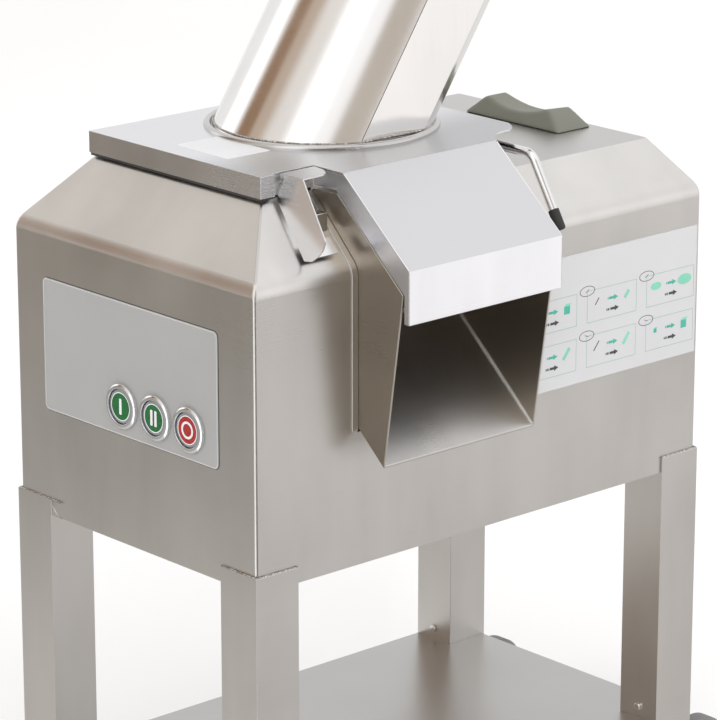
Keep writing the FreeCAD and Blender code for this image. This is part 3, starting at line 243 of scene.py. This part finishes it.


# Painted shade on the body's and the lid's flat faces, and a painted reflection of the feed tube on the lid's.
MATERIALS = {
    "body_steel": steel("body_steel", (0.725, 0.705, 0.68), 0.31, wave=0.0009, flat_painted_shade=0.80, fleck=0.18),
    "lid_steel": steel("lid_steel", (0.86, 0.86, 0.875), 0.24, wave=0.0005, flat_painted_shade=0.92, fleck=0.2,
                       painted_reflection_shade=0.58),
    "bright_steel": steel("bright_steel", (0.86, 0.855, 0.85), 0.15, 0.03, 0.0003),
    "cast_alloy": plain("cast_alloy", (0.62, 0.63, 0.64), 0.42, 1.0, 40.0, 0.0002),
    "motor_paint": plain("motor_paint", (0.09, 0.11, 0.13), 0.42, 0.0, 50.0, 0.00012),
    "motor_iron": plain("motor_iron", (0.2, 0.19, 0.18), 0.5, 0.7, 90.0, 0.00015),
    "bezel_chrome": plain("bezel_chrome", (0.86, 0.87, 0.88), 0.12, 1.0, 60.0, 0.00002, 0.05),
    "panel_grey": plain("panel_grey", (0.345, 0.345, 0.34), 0.46, 0.0, 30.0, 0.00002, 0.03),
    "label_white": plain("label_white", (0.60, 0.60, 0.61), 0.44, 0.0, 30.0, 0.00002, 0.02),
    "black_plastic": plain("black_plastic", (0.03, 0.03, 0.03), 0.45, 0.0, 70.0, 0.0001, 0.2),
    "white_plastic": plain("white_plastic", (0.74, 0.73, 0.70), 0.4, 0.0, 60.0, 0.00008, 0.05),
    "black_rubber": plain("black_rubber", (0.032, 0.031, 0.03), 0.62, 0.0, 80.0, 0.00015, 0.25),
    "grey_rubber": plain("grey_rubber", (0.225, 0.23, 0.19), 0.6, 0.0, 45.0, 0.00012, 0.08),
    "grey_tyre": plain("grey_tyre", (0.2, 0.2, 0.2), 0.66, 0.0, 80.0, 0.00015, 0.12),
}
# Painted shade: the cover's slopes, the shelf's flats and the whole chute are toned darker; the chute's end
# walls get a brown painted reflection.
COVER = steel("cover_steel", (0.86, 0.855, 0.87), 0.30, wave=0.0003, fleck=0.15, slope_painted_shade=0.80, lean=0.22)
SHELF = steel("shelf_steel", (0.725, 0.705, 0.68), 0.31, wave=0.0009, flat_painted_shade=0.68, fleck=0.18)
CHUTE = steel("chute_steel", (0.64, 0.62, 0.60), 0.30, wave=0.0005, fleck=0.15, side=(0.50, 0.44, 0.365))
TUBE = steel("tube_steel", (0.90, 0.88, 0.86), 0.13, 0.03, 0.0002, level=False)
SEAM_WELD = plain("seam_weld", (0.62, 0.60, 0.57), 0.42, 0.35, 90.0, 0.0003, 0.2)
RING = steel("ring_steel", (0.60, 0.585, 0.57), 0.20)
WELD = welded("weld")
INK = plain("ink_grey", (0.055, 0.055, 0.06), 0.5, 0.0, 60.0, 0.00002, 0.1)
OUTLINE = plain("ink_outline", (0.30, 0.45, 0.42), 0.5, 0.0, 60.0, 0.00002, 0.05)
GREEN = plain("ink_green", (0.05, 0.42, 0.31), 0.5, 0.0, 60.0, 0.00002, 0.12)
PALE_GREEN = plain("ink_pale_green", (0.22, 0.60, 0.44), 0.5, 0.0, 60.0, 0.00002, 0.1)
# Painted highlight: a pale line along the control panel's edge.
PANEL_EDGE_HIGHLIGHT = plain("painted_edge_highlight", (0.50, 0.50, 0.50), 0.4, 0.0, 60.0, 0.00002, 0.03)
WHITE = plain("ink_white", (0.73, 0.73, 0.745), 0.4, 0.0, 60.0, 0.00002, 0.03)
# Painted shadow: dark lines in the gaps at the panel's edge and at the tube's fold.
GAP_SHADOW = plain("painted_gap_shadow", (0.05, 0.045, 0.042), 0.5, 0.3, 60.0, 0.00005, 0.2)


# --- pieces --------------------------------------------------------------------------------------

def dressed(thing, finish, body):
    thing.data.materials.clear()
    thing.data.materials.append(finish)
    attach(thing, body)
    return thing


def from_bmesh(name, bm):
    mesh = bpy.data.meshes.new(name)
    bm.to_mesh(mesh)
    bm.free()
    thing = bpy.data.objects.new(name, mesh)
    bpy.context.scene.collection.objects.link(thing)
    return thing


CREASE = math.radians(28)  # edges that turn more than this are rounded
FLAT = math.radians(0.6)
SAME_POINT = 0.00001


def softened(node, width, finish=None):
    """A copy of a CAD piece with its sharp edges rounded, which is shown in its place."""
    bm = bmesh.new()
    bm.from_mesh(NODES[node].data)
    bmesh.ops.remove_doubles(bm, verts=bm.verts, dist=SAME_POINT)
    bmesh.ops.dissolve_limit(bm, angle_limit=FLAT, verts=bm.verts, edges=bm.edges)
    verts = [tuple(v.co) for v in bm.verts]
    bm.verts.index_update()
    faces = [[v.index for v in f.verts] for f in bm.faces]
    bm.free()
    mesh = bpy.data.meshes.new(node + "_sheet")
    mesh.from_pydata(verts, [], faces)
    mesh.update()
    for polygon in mesh.polygons:
        polygon.use_smooth = True
    mesh.set_sharp_from_angle(angle=CREASE)
    thing = bpy.data.objects.new(node + "_rounded", mesh)
    bpy.context.scene.collection.objects.link(thing)
    edge = thing.modifiers.new("edges", "BEVEL")
    edge.width = width
    edge.segments = 3
    edge.limit_method = "ANGLE"
    edge.angle_limit = CREASE
    edge.use_clamp_overlap = True
    edge.harden_normals = True
    slot = SLOT_OF[node]
    dressed(thing, finish or MATERIALS[slot], BODY_OF[node])
    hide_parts(node)
    return thing


STATIONS_PER_LUMP = 4
BEAD_SIDES = 8


def bead(name, points, radius, body, pitch, closed=False, finish=None):
    """A weld bead along a line of points: lumpy, with a lump each pitch, or smooth if it has its own finish."""
    path = [Vector(p) for p in points]
    if closed:
        path.append(path[0])
    stations = []
    for a, b in zip(path, path[1:]):
        count = max(1, int((b - a).length / (pitch / STATIONS_PER_LUMP)))
        stations += [a.lerp(b, i / count) for i in range(count)]
    if not closed:
        stations.append(path[-1])
    bm = bmesh.new()
    rings = []
    total = len(stations)
    for i, at in enumerate(stations):
        ahead = stations[(i + 1) % total] if closed else stations[min(i + 1, total - 1)]
        behind = stations[i - 1] if closed else stations[max(i - 1, 0)]
        along = (ahead - behind).normalized()
        side = along.cross(Vector((0, 0, 1)))
        side = side.normalized() if side.length > 0.01 else Vector((1, 0, 0))
        over = side.cross(along)
        # Drawn for smooth beads too, so that the order of draws is the same for each bead.
        lump = 0.72 + 0.28 * abs(math.sin(math.pi * i / STATIONS_PER_LUMP)) + random.uniform(-0.08, 0.08)
        size = radius * (1.0 if finish else lump)
        ring = []
        for k in range(BEAD_SIDES):
            turn = 2 * math.pi * k / BEAD_SIDES
            ring.append(bm.verts.new(at + side * size * math.cos(turn) + over * size * math.sin(turn)))
        rings.append(ring)
    pairs = list(zip(rings, rings[1:])) + ([(rings[-1], rings[0])] if closed else [])
    for a, b in pairs:
        for k in range(BEAD_SIDES):
            after = (k + 1) % BEAD_SIDES
            bm.faces.new((a[k], a[after], b[after], b[k]))
    if not closed:
        bm.faces.new(rings[0][::-1])
        bm.faces.new(rings[-1])
    for face in bm.faces:
        face.smooth = True
    return dressed(from_bmesh(name, bm), finish or WELD, body)


def inlay(name, outlines, origin, directions, depth, finish, body):
    """Thin raised shapes on a flat face: each outline is a list of (across, up) points from the origin."""
    across, up, out = directions
    bm = bmesh.new()
    for outline in outlines:
        low = [bm.verts.new(origin + across * a + up * b) for a, b in outline]
        face = bm.faces.new(low)
        grown = bmesh.ops.extrude_face_region(bm, geom=[face])["geom"]
        for vert in grown:
            if isinstance(vert, bmesh.types.BMVert):
                vert.co += out * depth
    bmesh.ops.recalc_face_normals(bm, faces=bm.faces)
    return dressed(from_bmesh(name, bm), finish, body)


CORNER_STEPS = 4


def oblong(x, y, w, h, corner=0.0):
    """A rectangle's outline about its middle, with round corners where a radius is given."""
    if corner <= 0:
        low_x, high_x, low_y, high_y = x - w / 2, x + w / 2, y - h / 2, y + h / 2
        return [(low_x, low_y), (high_x, low_y), (high_x, high_y), (low_x, high_y)]
    points = []
    for cx, cy, begin in ((1, -1, -90), (1, 1, 0), (-1, 1, 90), (-1, -1, 180)):
        for i in range(CORNER_STEPS + 1):
            turn = math.radians(begin + 90 * i / CORNER_STEPS)
            points.append((x + cx * (w / 2 - corner) + corner * math.cos(turn),
                           y + cy * (h / 2 - corner) + corner * math.sin(turn)))
    return points


def band(outer, inner):
    """The strips between two outlines that have the same number of points."""
    count = len(outer)
    return [[outer[i], outer[(i + 1) % count], inner[(i + 1) % count], inner[i]] for i in range(count)]


def oval(x, y, a, b, count=32, teeth=0.0):
    """An oval's outline; teeth is how far every other point stands out, as a share of its reach."""
    points = []
    for i in range(count):
        turn = 2 * math.pi * i / count
        grow = 1 + (teeth if i % 2 else 0.0)
        points.append((x + a * grow * math.cos(turn), y + b * grow * math.sin(turn)))
    return points


# Every CAD node gets its slot's material; a softened copy is dressed again when it is made.
for name, thing in NODES.items():
    slot = SLOT_OF[name]
    if slot in MATERIALS:
        thing.data.materials.clear()
        thing.data.materials.append(MATERIALS[slot])

NODES["feed_tube"].data.materials[0] = TUBE

LEGS = ("leg_front_chute", "leg_front_back", "leg_rear_chute", "leg_rear_back")
softened("chute_cover", 0.0009, finish=COVER)
softened("shelf", 0.0009, finish=SHELF)
softened("discharge_chute", 0.0008, finish=CHUTE)
softened("lid_plate", 0.0022)
softened("latch_lever", 0.0007)
for name in LEGS:
    softened(name, 0.0013)
for name, width in (("control_plate", 0.0004), ("hinge_brackets", 0.0008), ("lid_lugs", 0.0008),
                    ("latch_catch", 0.0009), ("loading_tray", 0.0009), ("wheel_forks", 0.0006),
                    ("leg_feet", 0.0012), ("chute_strips", 0.0005), ("guide_label", 0.0002)):
    softened(name, width)

# The rubber saddle is one moulded lump, so its solid is melted together before it is smoothed.
moulded = softened("saddle_bumper", 0.0005)
moulded.modifiers.clear()
grid = moulded.modifiers.new("grid", "REMESH")
grid.mode = "VOXEL"
grid.voxel_size = 0.0018
grid.use_smooth_shade = True
rounding = moulded.modifiers.new("rounding", "SMOOTH")
rounding.factor = 0.8
rounding.iterations = 14

# The cap is slimmer than its solid, and a little further out along the rod.
CAP_SLOPE = math.radians(59)
CAP_GIRTH, CAP_SHIFT = 0.82, 0.003
cap = softened("rod_cap", 0.0008)
low, high = (Vector(corner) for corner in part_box("rod_cap"))
middle = (low + high) / 2
along = Vector((0, -math.cos(CAP_SLOPE), -math.sin(CAP_SLOPE)))
for vert in cap.data.vertices:
    reach = vert.co - middle
    length = along * reach.dot(along)
    vert.co = middle + length + (reach - length) * CAP_GIRTH + along * CAP_SHIFT
softened("weld_ring", 0.0004, finish=RING)
softened("button_bezels", 0.0006)
softened("plate_screws", 0.0008)

# Push buttons: the caps, with the generic signs raised on them.
RED, LEAF = (0.34, 0.02, 0.018), (0.010, 0.125, 0.033)
SYMBOLS = {"start_button": [oblong(0, 0, 0.0036, 0.0165, 0.0008)],
           "pulse_button": [oblong(x, 0, 0.0034, 0.0165, 0.0008) for x in (-0.0032, 0.0032)],
           "stop_button": band(oval(0, 0, 0.0090, 0.0090, 48), oval(0, 0, 0.0066, 0.0066, 48))}
for name, shapes in SYMBOLS.items():
    low, high = (Vector(corner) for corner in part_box(name))
    middle = (low + high) / 2
    finish = button_face(name + "_face", RED if name == "stop_button" else LEAF, middle)
    NODES[name].data.materials.clear()
    NODES[name].data.materials.append(finish)
    softened(name, 0.0008, finish)
    face = Vector((low.x, middle.y, middle.z))
    inlay(name + "_symbol", shapes, face, END_WALL, 0.00025, WHITE, BODY_OF[name])

# A painted highlight along the panel's edge, and a painted shadow where the panel's edge meets the wall.
low, high = (Vector(corner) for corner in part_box("control_plate"))
middle = Vector((low.x, (low.y + high.y) / 2, (low.z + high.z) / 2))
wide, tall = high.y - low.y, high.z - low.z
inlay("panel_edge_highlight", band(oblong(0, 0, wide - 0.0014, tall - 0.0014, 0.0054),
                           oblong(0, 0, wide - 0.0034, tall - 0.0034, 0.0044)),
      middle, END_WALL, 0.00012, PANEL_EDGE_HIGHLIGHT, "stand")
wall = Vector((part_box("housing_shell")[0][0], middle.y, middle.z))
inlay("panel_shadow", band(oblong(0, 0, wide + 0.0014, tall + 0.0014, 0.0066),
                           oblong(0, 0, wide - 0.0001, tall - 0.0001, 0.0060)),
      wall, END_WALL, 0.00015, GAP_SHADOW, "stand")


# --- the guide label: what each disc cuts, as plain pictograms -----------------------------------

def arrow(x, y, long, tall):
    """A broad arrow that points right, with two short dashes behind it."""
    half, stem = tall / 2, tall / 2 * 0.45
    tail, tip = x - long / 2, x + long / 2
    head = tip - tall
    heel = head - long * 0.35
    body = [(heel, y - stem), (head, y - stem), (head, y - half), (tip, y), (head, y + half), (head, y + stem),
            (heel, y + stem)]
    return [body, oblong(tail + 0.0012, y, 0.0014, half * 0.8), oblong(tail + 0.0038, y, 0.0020, half * 0.85)]


def slanted_bar(x, y, long, thick, turn):
    """A bar about its middle, turned by so many degrees."""
    c, s = math.cos(math.radians(turn)), math.sin(math.radians(turn))
    return [(x + a * c - b * s, y + a * s + b * c) for a, b in oblong(0, 0, long, thick, thick * 0.3)]


def cube(x, y, side):
    """The outlines of a cube's front and of its top."""
    lift = side * 0.3
    left_x, right_x = x - side / 2, x + side / 2
    low_y, high_y = y + side / 2 - lift / 2, y + side / 2 + lift / 2
    top_face = [(left_x, low_y), (right_x, low_y), (right_x + lift, high_y), (left_x + lift, high_y)]
    return oblong(x, y - lift / 2, side, side), top_face


COLUMNS = ((-0.0005, 0.0775), (0.0925, 0.1665), (0.1815, 0.2545))
ROWS = ((0.0141, 0.0489), (0.0625, 0.0975))
label = Vector(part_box("guide_label")[0])
frames, greens, pales, darks, greys = [], [], [], [], []
for column, (left, right) in enumerate(COLUMNS):
    for row, (bottom, top) in enumerate(ROWS):
        left_edge = max(left, 0.004)
        middle = ((left_edge + right) / 2, (bottom + top) / 2)
        w, h = right - left_edge, top - bottom
        frames += band(oblong(*middle, w, h), oblong(*middle, w - 0.0012, h - 0.0012))
        hub = (left_edge, top)
        greys += band(oval(*hub, 0.0112, 0.0056), oval(*hub, 0.0104, 0.0050))
        darks.append(slanted_bar(*hub, 0.006, 0.0006, 160 - 130 * row))
        # The small sign stands on the left of the green arrow, and the large one on the right.
        near, far = (right - w * 0.80, middle[1] + 0.004), (right - w * 0.20, middle[1] + 0.004)
        greens += arrow(middle[0] + 0.001, near[1], 0.016, 0.0060)
        darks += arrow(middle[0] + 0.001, middle[1] - 0.0080, 0.019, 0.0060)
        if column == 2 and row == 1:
            pales.append(oval(*near, 0.0082, 0.0042))
            pales.append(oval(*far, 0.0104, 0.0056, 36, 0.07))
        elif column == 2 or column == 0 and row == 1:
            for at, side in ((near, 0.0045), (far, 0.0085)):
                front_face, top_face = cube(*at, side)
                greens.append(front_face)
                pales.append(top_face)
        else:
            greys.append(slanted_bar(*near, 0.009 + 0.004 * (row == 0), 0.0012, 52))
            pales.append(slanted_bar(*far, 0.010 + 0.005 * (row == 0), 0.0042, 52))
for name, shapes, finish, depth in (("label_frames", frames, OUTLINE, 0.00008),
                                    ("label_icons", greys, INK, 0.00010),
                                    ("label_greens", greens, GREEN, 0.00011),
                                    ("label_pales", pales, PALE_GREEN, 0.00013),
                                    ("label_arrows", darks, INK, 0.00012)):
    inlay(name, shapes, label, FRONT_WALL, depth, finish, "stand")

# A blank film label on the lid.
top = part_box("lid_plate")[1][2]
inlay("lid_film", [oblong(0, 0, 0.056, 0.083, 0.002)], Vector((-0.1985, -0.0085, top)), LID_TOP, 0.00012,
      WHITE, "lid")


# --- weld beads, edges and seals -----------------------------------------------------------------

# The feed tube's foot: round, but for a flat side towards the chute. The tube leans as it rises.
TUBE_LEAN = 0.674
FOOT_RADIUS, FOOT_FLAT, FOOT_LIFT = 0.1148, -0.1060, 0.0040
ring = [Vector(corner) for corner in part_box("weld_ring")]
centre = Vector(((ring[0].x + ring[1].x) / 2, ring[1].y - 0.1225, 0))
foot = []
for i in range(180):
    turn = 2 * math.pi * i / 180
    x = FOOT_RADIUS * math.cos(turn)
    y = max(FOOT_RADIUS * math.sin(turn), FOOT_FLAT)
    foot.append((centre.x + x + TUBE_LEAN * FOOT_LIFT, centre.y + y, top + FOOT_LIFT))
bead("tube_weld", foot, 0.0013, "lid", 0.0034, True)

# The legs' tops are welded along their two outer sides.
WELD_INSET = 0.0013
for leg in LEGS:
    low, high = (Vector(corner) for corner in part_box(leg))
    x_out = low.x if low.x < 0 else high.x
    y_out = low.y if low.y < 0 else high.y
    x_in = high.x if low.x < 0 else low.x
    y_in = high.y if low.y < 0 else low.y
    x_weld, y_weld = x_out - math.copysign(WELD_INSET, x_out), y_out - math.copysign(WELD_INSET, y_out)
    bead(leg + "_weld", [(x_in, y_weld, high.z), (x_weld, y_weld, high.z), (x_weld, y_in, high.z)],
         0.0012, "stand", 0.0028)

# The cover's polished folded edges.
walls_of_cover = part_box("chute_cover")
for end, x in (("left", walls_of_cover[0][0] + 0.0002), ("right", walls_of_cover[1][0] - 0.0002)):
    bead("cover_edge_" + end, [(x, -0.2643, 0.6555), (x, -0.2643, 0.7098), (x, -0.1690, 0.7900)], 0.0007,
         "lid", 0.008, finish=MATERIALS["bright_steel"])

# The chute's floor is welded along both walls.
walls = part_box("discharge_chute")
for end, x in (("left", walls[0][0] + 0.0026), ("right", walls[1][0] - 0.0026)):
    bead("chute_weld_" + end, [(x, -0.2285, 0.5040), (x, -0.1086, 0.6101)], 0.0019, "stand", 0.0030,
         finish=SEAM_WELD)

# A black strip under the lid's folded edge, a painted shadow of the gap there: along the end, and a little way
# round the corner.
SHADOW_STRIP_LEFT, SHADOW_STRIP_FRONT, SHADOW_STRIP_BACK, SHADOW_STRIP_END = -0.2507, -0.1282, 0.139, -0.2412
SHADOW_STRIP_THICK, SHADOW_STRIP_TALL, SHADOW_STRIP_GAP = 0.0022, 0.0026, 0.0026
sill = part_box("lid_plate")[0][2]
bm = bmesh.new()
for x0, x1, y0, y1 in ((SHADOW_STRIP_LEFT, SHADOW_STRIP_LEFT + SHADOW_STRIP_THICK, SHADOW_STRIP_FRONT, SHADOW_STRIP_BACK),
                       (SHADOW_STRIP_LEFT + SHADOW_STRIP_GAP, SHADOW_STRIP_END, SHADOW_STRIP_FRONT, SHADOW_STRIP_FRONT + SHADOW_STRIP_THICK)):
    for vert in bmesh.ops.create_cube(bm, size=1.0)["verts"]:
        vert.co = Vector(((x0 + x1) / 2 + vert.co.x * (x1 - x0), (y0 + y1) / 2 + vert.co.y * (y1 - y0),
                          sill - SHADOW_STRIP_TALL / 2 + vert.co.z * SHADOW_STRIP_TALL))
dressed(from_bmesh("lid_gap_shadow", bm), MATERIALS["black_rubber"], "lid")

# A painted shadow: the dark line where the tube's round wall folds into its flat side.
FOLD_LEFT, FOLD_FRONT, FOLD_WIDTH = -0.0438, -0.1053, 0.0009
bottom, peak = (Vector((centre.x + FOLD_LEFT + TUBE_LEAN * (z - top), centre.y + FOLD_FRONT, z))
                for z in (top + 0.006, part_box("feed_tube")[1][2] - 0.001))
inlay("tube_fold_shadow", [[(0, 0), (FOLD_WIDTH, 0), (FOLD_WIDTH, 1), (0, 1)]], bottom,
      (Vector((1, 0, 0)), peak - bottom, Vector((0, -1, 0))), 0.00015, GAP_SHADOW, "lid")


# --- camera, floor and light ---------------------------------------------------------------------

SENSOR, LENS = 36, 188.3  # millimetres
CAMERA_AT = (-2.5636, -2.8364, 1.6675)
CAMERA_DIP, CAMERA_TURN = 16.617, -42.03  # degrees
camera = bpy.data.objects.new("camera", bpy.data.cameras.new("camera"))
bpy.context.scene.collection.objects.link(camera)
camera.data.lens = LENS
camera.data.sensor_width = SENSOR
camera.data.clip_end = 100
camera.location = CAMERA_AT
camera.rotation_euler = (math.radians(90 - CAMERA_DIP), 0, math.radians(CAMERA_TURN))
bpy.context.scene.camera = camera
bpy.context.scene.view_settings.view_transform = "Standard"


def towards(tree, direction):
    """Azimuth and elevation of a direction, in radians."""
    unit = add(tree, "ShaderNodeVectorMath", {0: direction}, operation="NORMALIZE").outputs[0]
    axes = add(tree, "ShaderNodeSeparateXYZ", {0: unit})
    azimuth = maths(tree, "ARCTAN2", axes.outputs["Y"], axes.outputs["X"])
    return azimuth, maths(tree, "ARCSINE", axes.outputs["Z"])


def window(tree, value, middle, half, soft, wrap=False):
    """One within half of the middle, falling to nothing over the soft width. Angles in degrees."""
    away = maths(tree, "SUBTRACT", value, math.radians(middle))
    if wrap:
        away = maths(tree, "WRAP", away, math.pi, -math.pi)
    away = maths(tree, "ABSOLUTE", away)
    return ranged(tree, away, math.radians(half), math.radians(half + soft), 1.0, 0.0, True)


def patch(tree, angles, colour, field, below):
    """A soft-edged area of another colour: field is (azimuth, half, soft, elevation, half, soft)."""
    around = window(tree, angles[0], *field[:3], wrap=True)
    factor = maths(tree, "MULTIPLY", around, window(tree, angles[1], *field[3:]))
    return blend(tree, factor, below, colour)


# The studio is a pale gradient, with soft areas that stand for the room that bright steel reflects.
world = bpy.data.worlds.new("studio")
bpy.context.scene.world = world
world.use_nodes = True
tree = world.node_tree
angles = towards(tree, add(tree, "ShaderNodeTexCoord").outputs["Generated"])
sky = blend(tree, ranged(tree, angles[1], 0.0, 0.9), (0.86, 0.86, 0.87), (1.08, 1.08, 1.09))
for colour, field in (
        ((0.80, 0.77, 0.73), (112, 22, 14, 48, 16, 12)),
        ((0.34, 0.28, 0.22), (138, 14, 16, 4, 18, 14)),
        ((1.35, 1.35, 1.38), (103, 7, 4, 12, 13, 6)),
        ((0.80, 0.77, 0.74), (158, 12, 10, 34, 26, 10)),
        ((0.52, 0.42, 0.34), (136, 6, 14, 22, 20, 10)),
        ((0.30, 0.19, 0.12), (124, 6, 4, 16, 18, 8)),
        ((1.45, 1.45, 1.45), (-164, 11, 7, 20, 60, 12)),
        ((0.17, 0.15, 0.13), (-126, 14, 8, -20, 34, 10)),
        ((0.52, 0.47, 0.42), (-110, 10, 12, 30, 14, 8)),
        ((1.12, 1.11, 1.12), (-52, 16, 12, 8, 8, 8))):
    sky = patch(tree, angles, colour, field, sky)
tree.links.new(sky, tree.nodes["Background"].inputs["Color"])


def sheet_of(name, reach, height, finish):
    """A square level sheet that isn't part of the object; reach is from its middle to a side."""
    mesh = bpy.data.meshes.new(name)
    corners = [(x * reach, y * reach, height) for x, y in ((-1, -1), (1, -1), (1, 1), (-1, 1))]
    mesh.from_pydata(corners, [], [(0, 1, 2, 3)])
    thing = bpy.data.objects.new(name, mesh)
    bpy.context.scene.collection.objects.link(thing)
    thing.data.materials.append(finish)
    return thing


sheet_of("floor", 16, -0.0006, plain("floor_pale", (0.965, 0.965, 0.965), 0.85, 0.0, 4.0, 0.00001, 0.01))

# A card on the floor, seen only in reflections: darker and warmer behind the object, paler ahead of it.
glow = bpy.data.materials.new("floor_reflection")
glow.use_nodes = True
tree = glow.node_tree
tree.nodes.remove(tree.nodes["Principled BSDF"])
place = add(tree, "ShaderNodeNewGeometry").outputs["Position"]
angles = towards(tree, place)
reach = add(tree, "ShaderNodeVectorMath", {0: place}, operation="LENGTH").outputs["Value"]
behind = blend(tree, ranged(tree, reach, 0.9, 1.5), (0.62, 0.60, 0.57), (0.41, 0.40, 0.38))
behind = blend(tree, ranged(tree, reach, 1.8, 2.9), behind, (0.25, 0.215, 0.175))
ahead = blend(tree, ranged(tree, reach, 1.1, 1.7), (0.60, 0.58, 0.56), (0.74, 0.72, 0.71))
ahead = blend(tree, ranged(tree, reach, 1.85, 2.35), ahead, (0.40, 0.38, 0.36))
ahead = blend(tree, ranged(tree, reach, 2.75, 3.1), ahead, (1.0, 0.985, 0.98))
tone = patch(tree, angles, behind, (138, 40, 24, 0, 60, 10), (0.80, 0.79, 0.78))
tone = patch(tree, angles, ahead, (-48, 36, 24, 0, 60, 10), tone)
tone = patch(tree, angles, (0.17, 0.15, 0.13), (-126, 14, 8, 0, 60, 10), tone)
tone = patch(tree, angles, (1.4, 1.4, 1.4), (-164, 12, 8, 0, 60, 10), tone)
shine = add(tree, "ShaderNodeEmission", {"Color": tone, "Strength": 1.0})
tree.links.new(shine.outputs[0], tree.nodes["Material Output"].inputs["Surface"])
card = sheet_of("floor_card", 6, -0.0003, glow)
card.visible_camera = False
card.visible_diffuse = False
card.visible_shadow = False
card.visible_transmission = False

for name, at, aim, size, energy in (("key", (-1.6, -3.2, 3.4), (0, 0, 0.5), 2.4, 70),
                                    ("fill", (-3.4, 0.6, 2.2), (0, 0, 0.5), 2.4, 22)):
    lamp = bpy.data.objects.new(name, bpy.data.lights.new(name, "AREA"))
    bpy.context.scene.collection.objects.link(lamp)
    lamp.data.size = size
    lamp.data.energy = energy
    lamp.location = at
    lamp.rotation_euler = (Vector(aim) - Vector(at)).to_track_quat("-Z", "Y").to_euler()
    lamp.visible_glossy = False
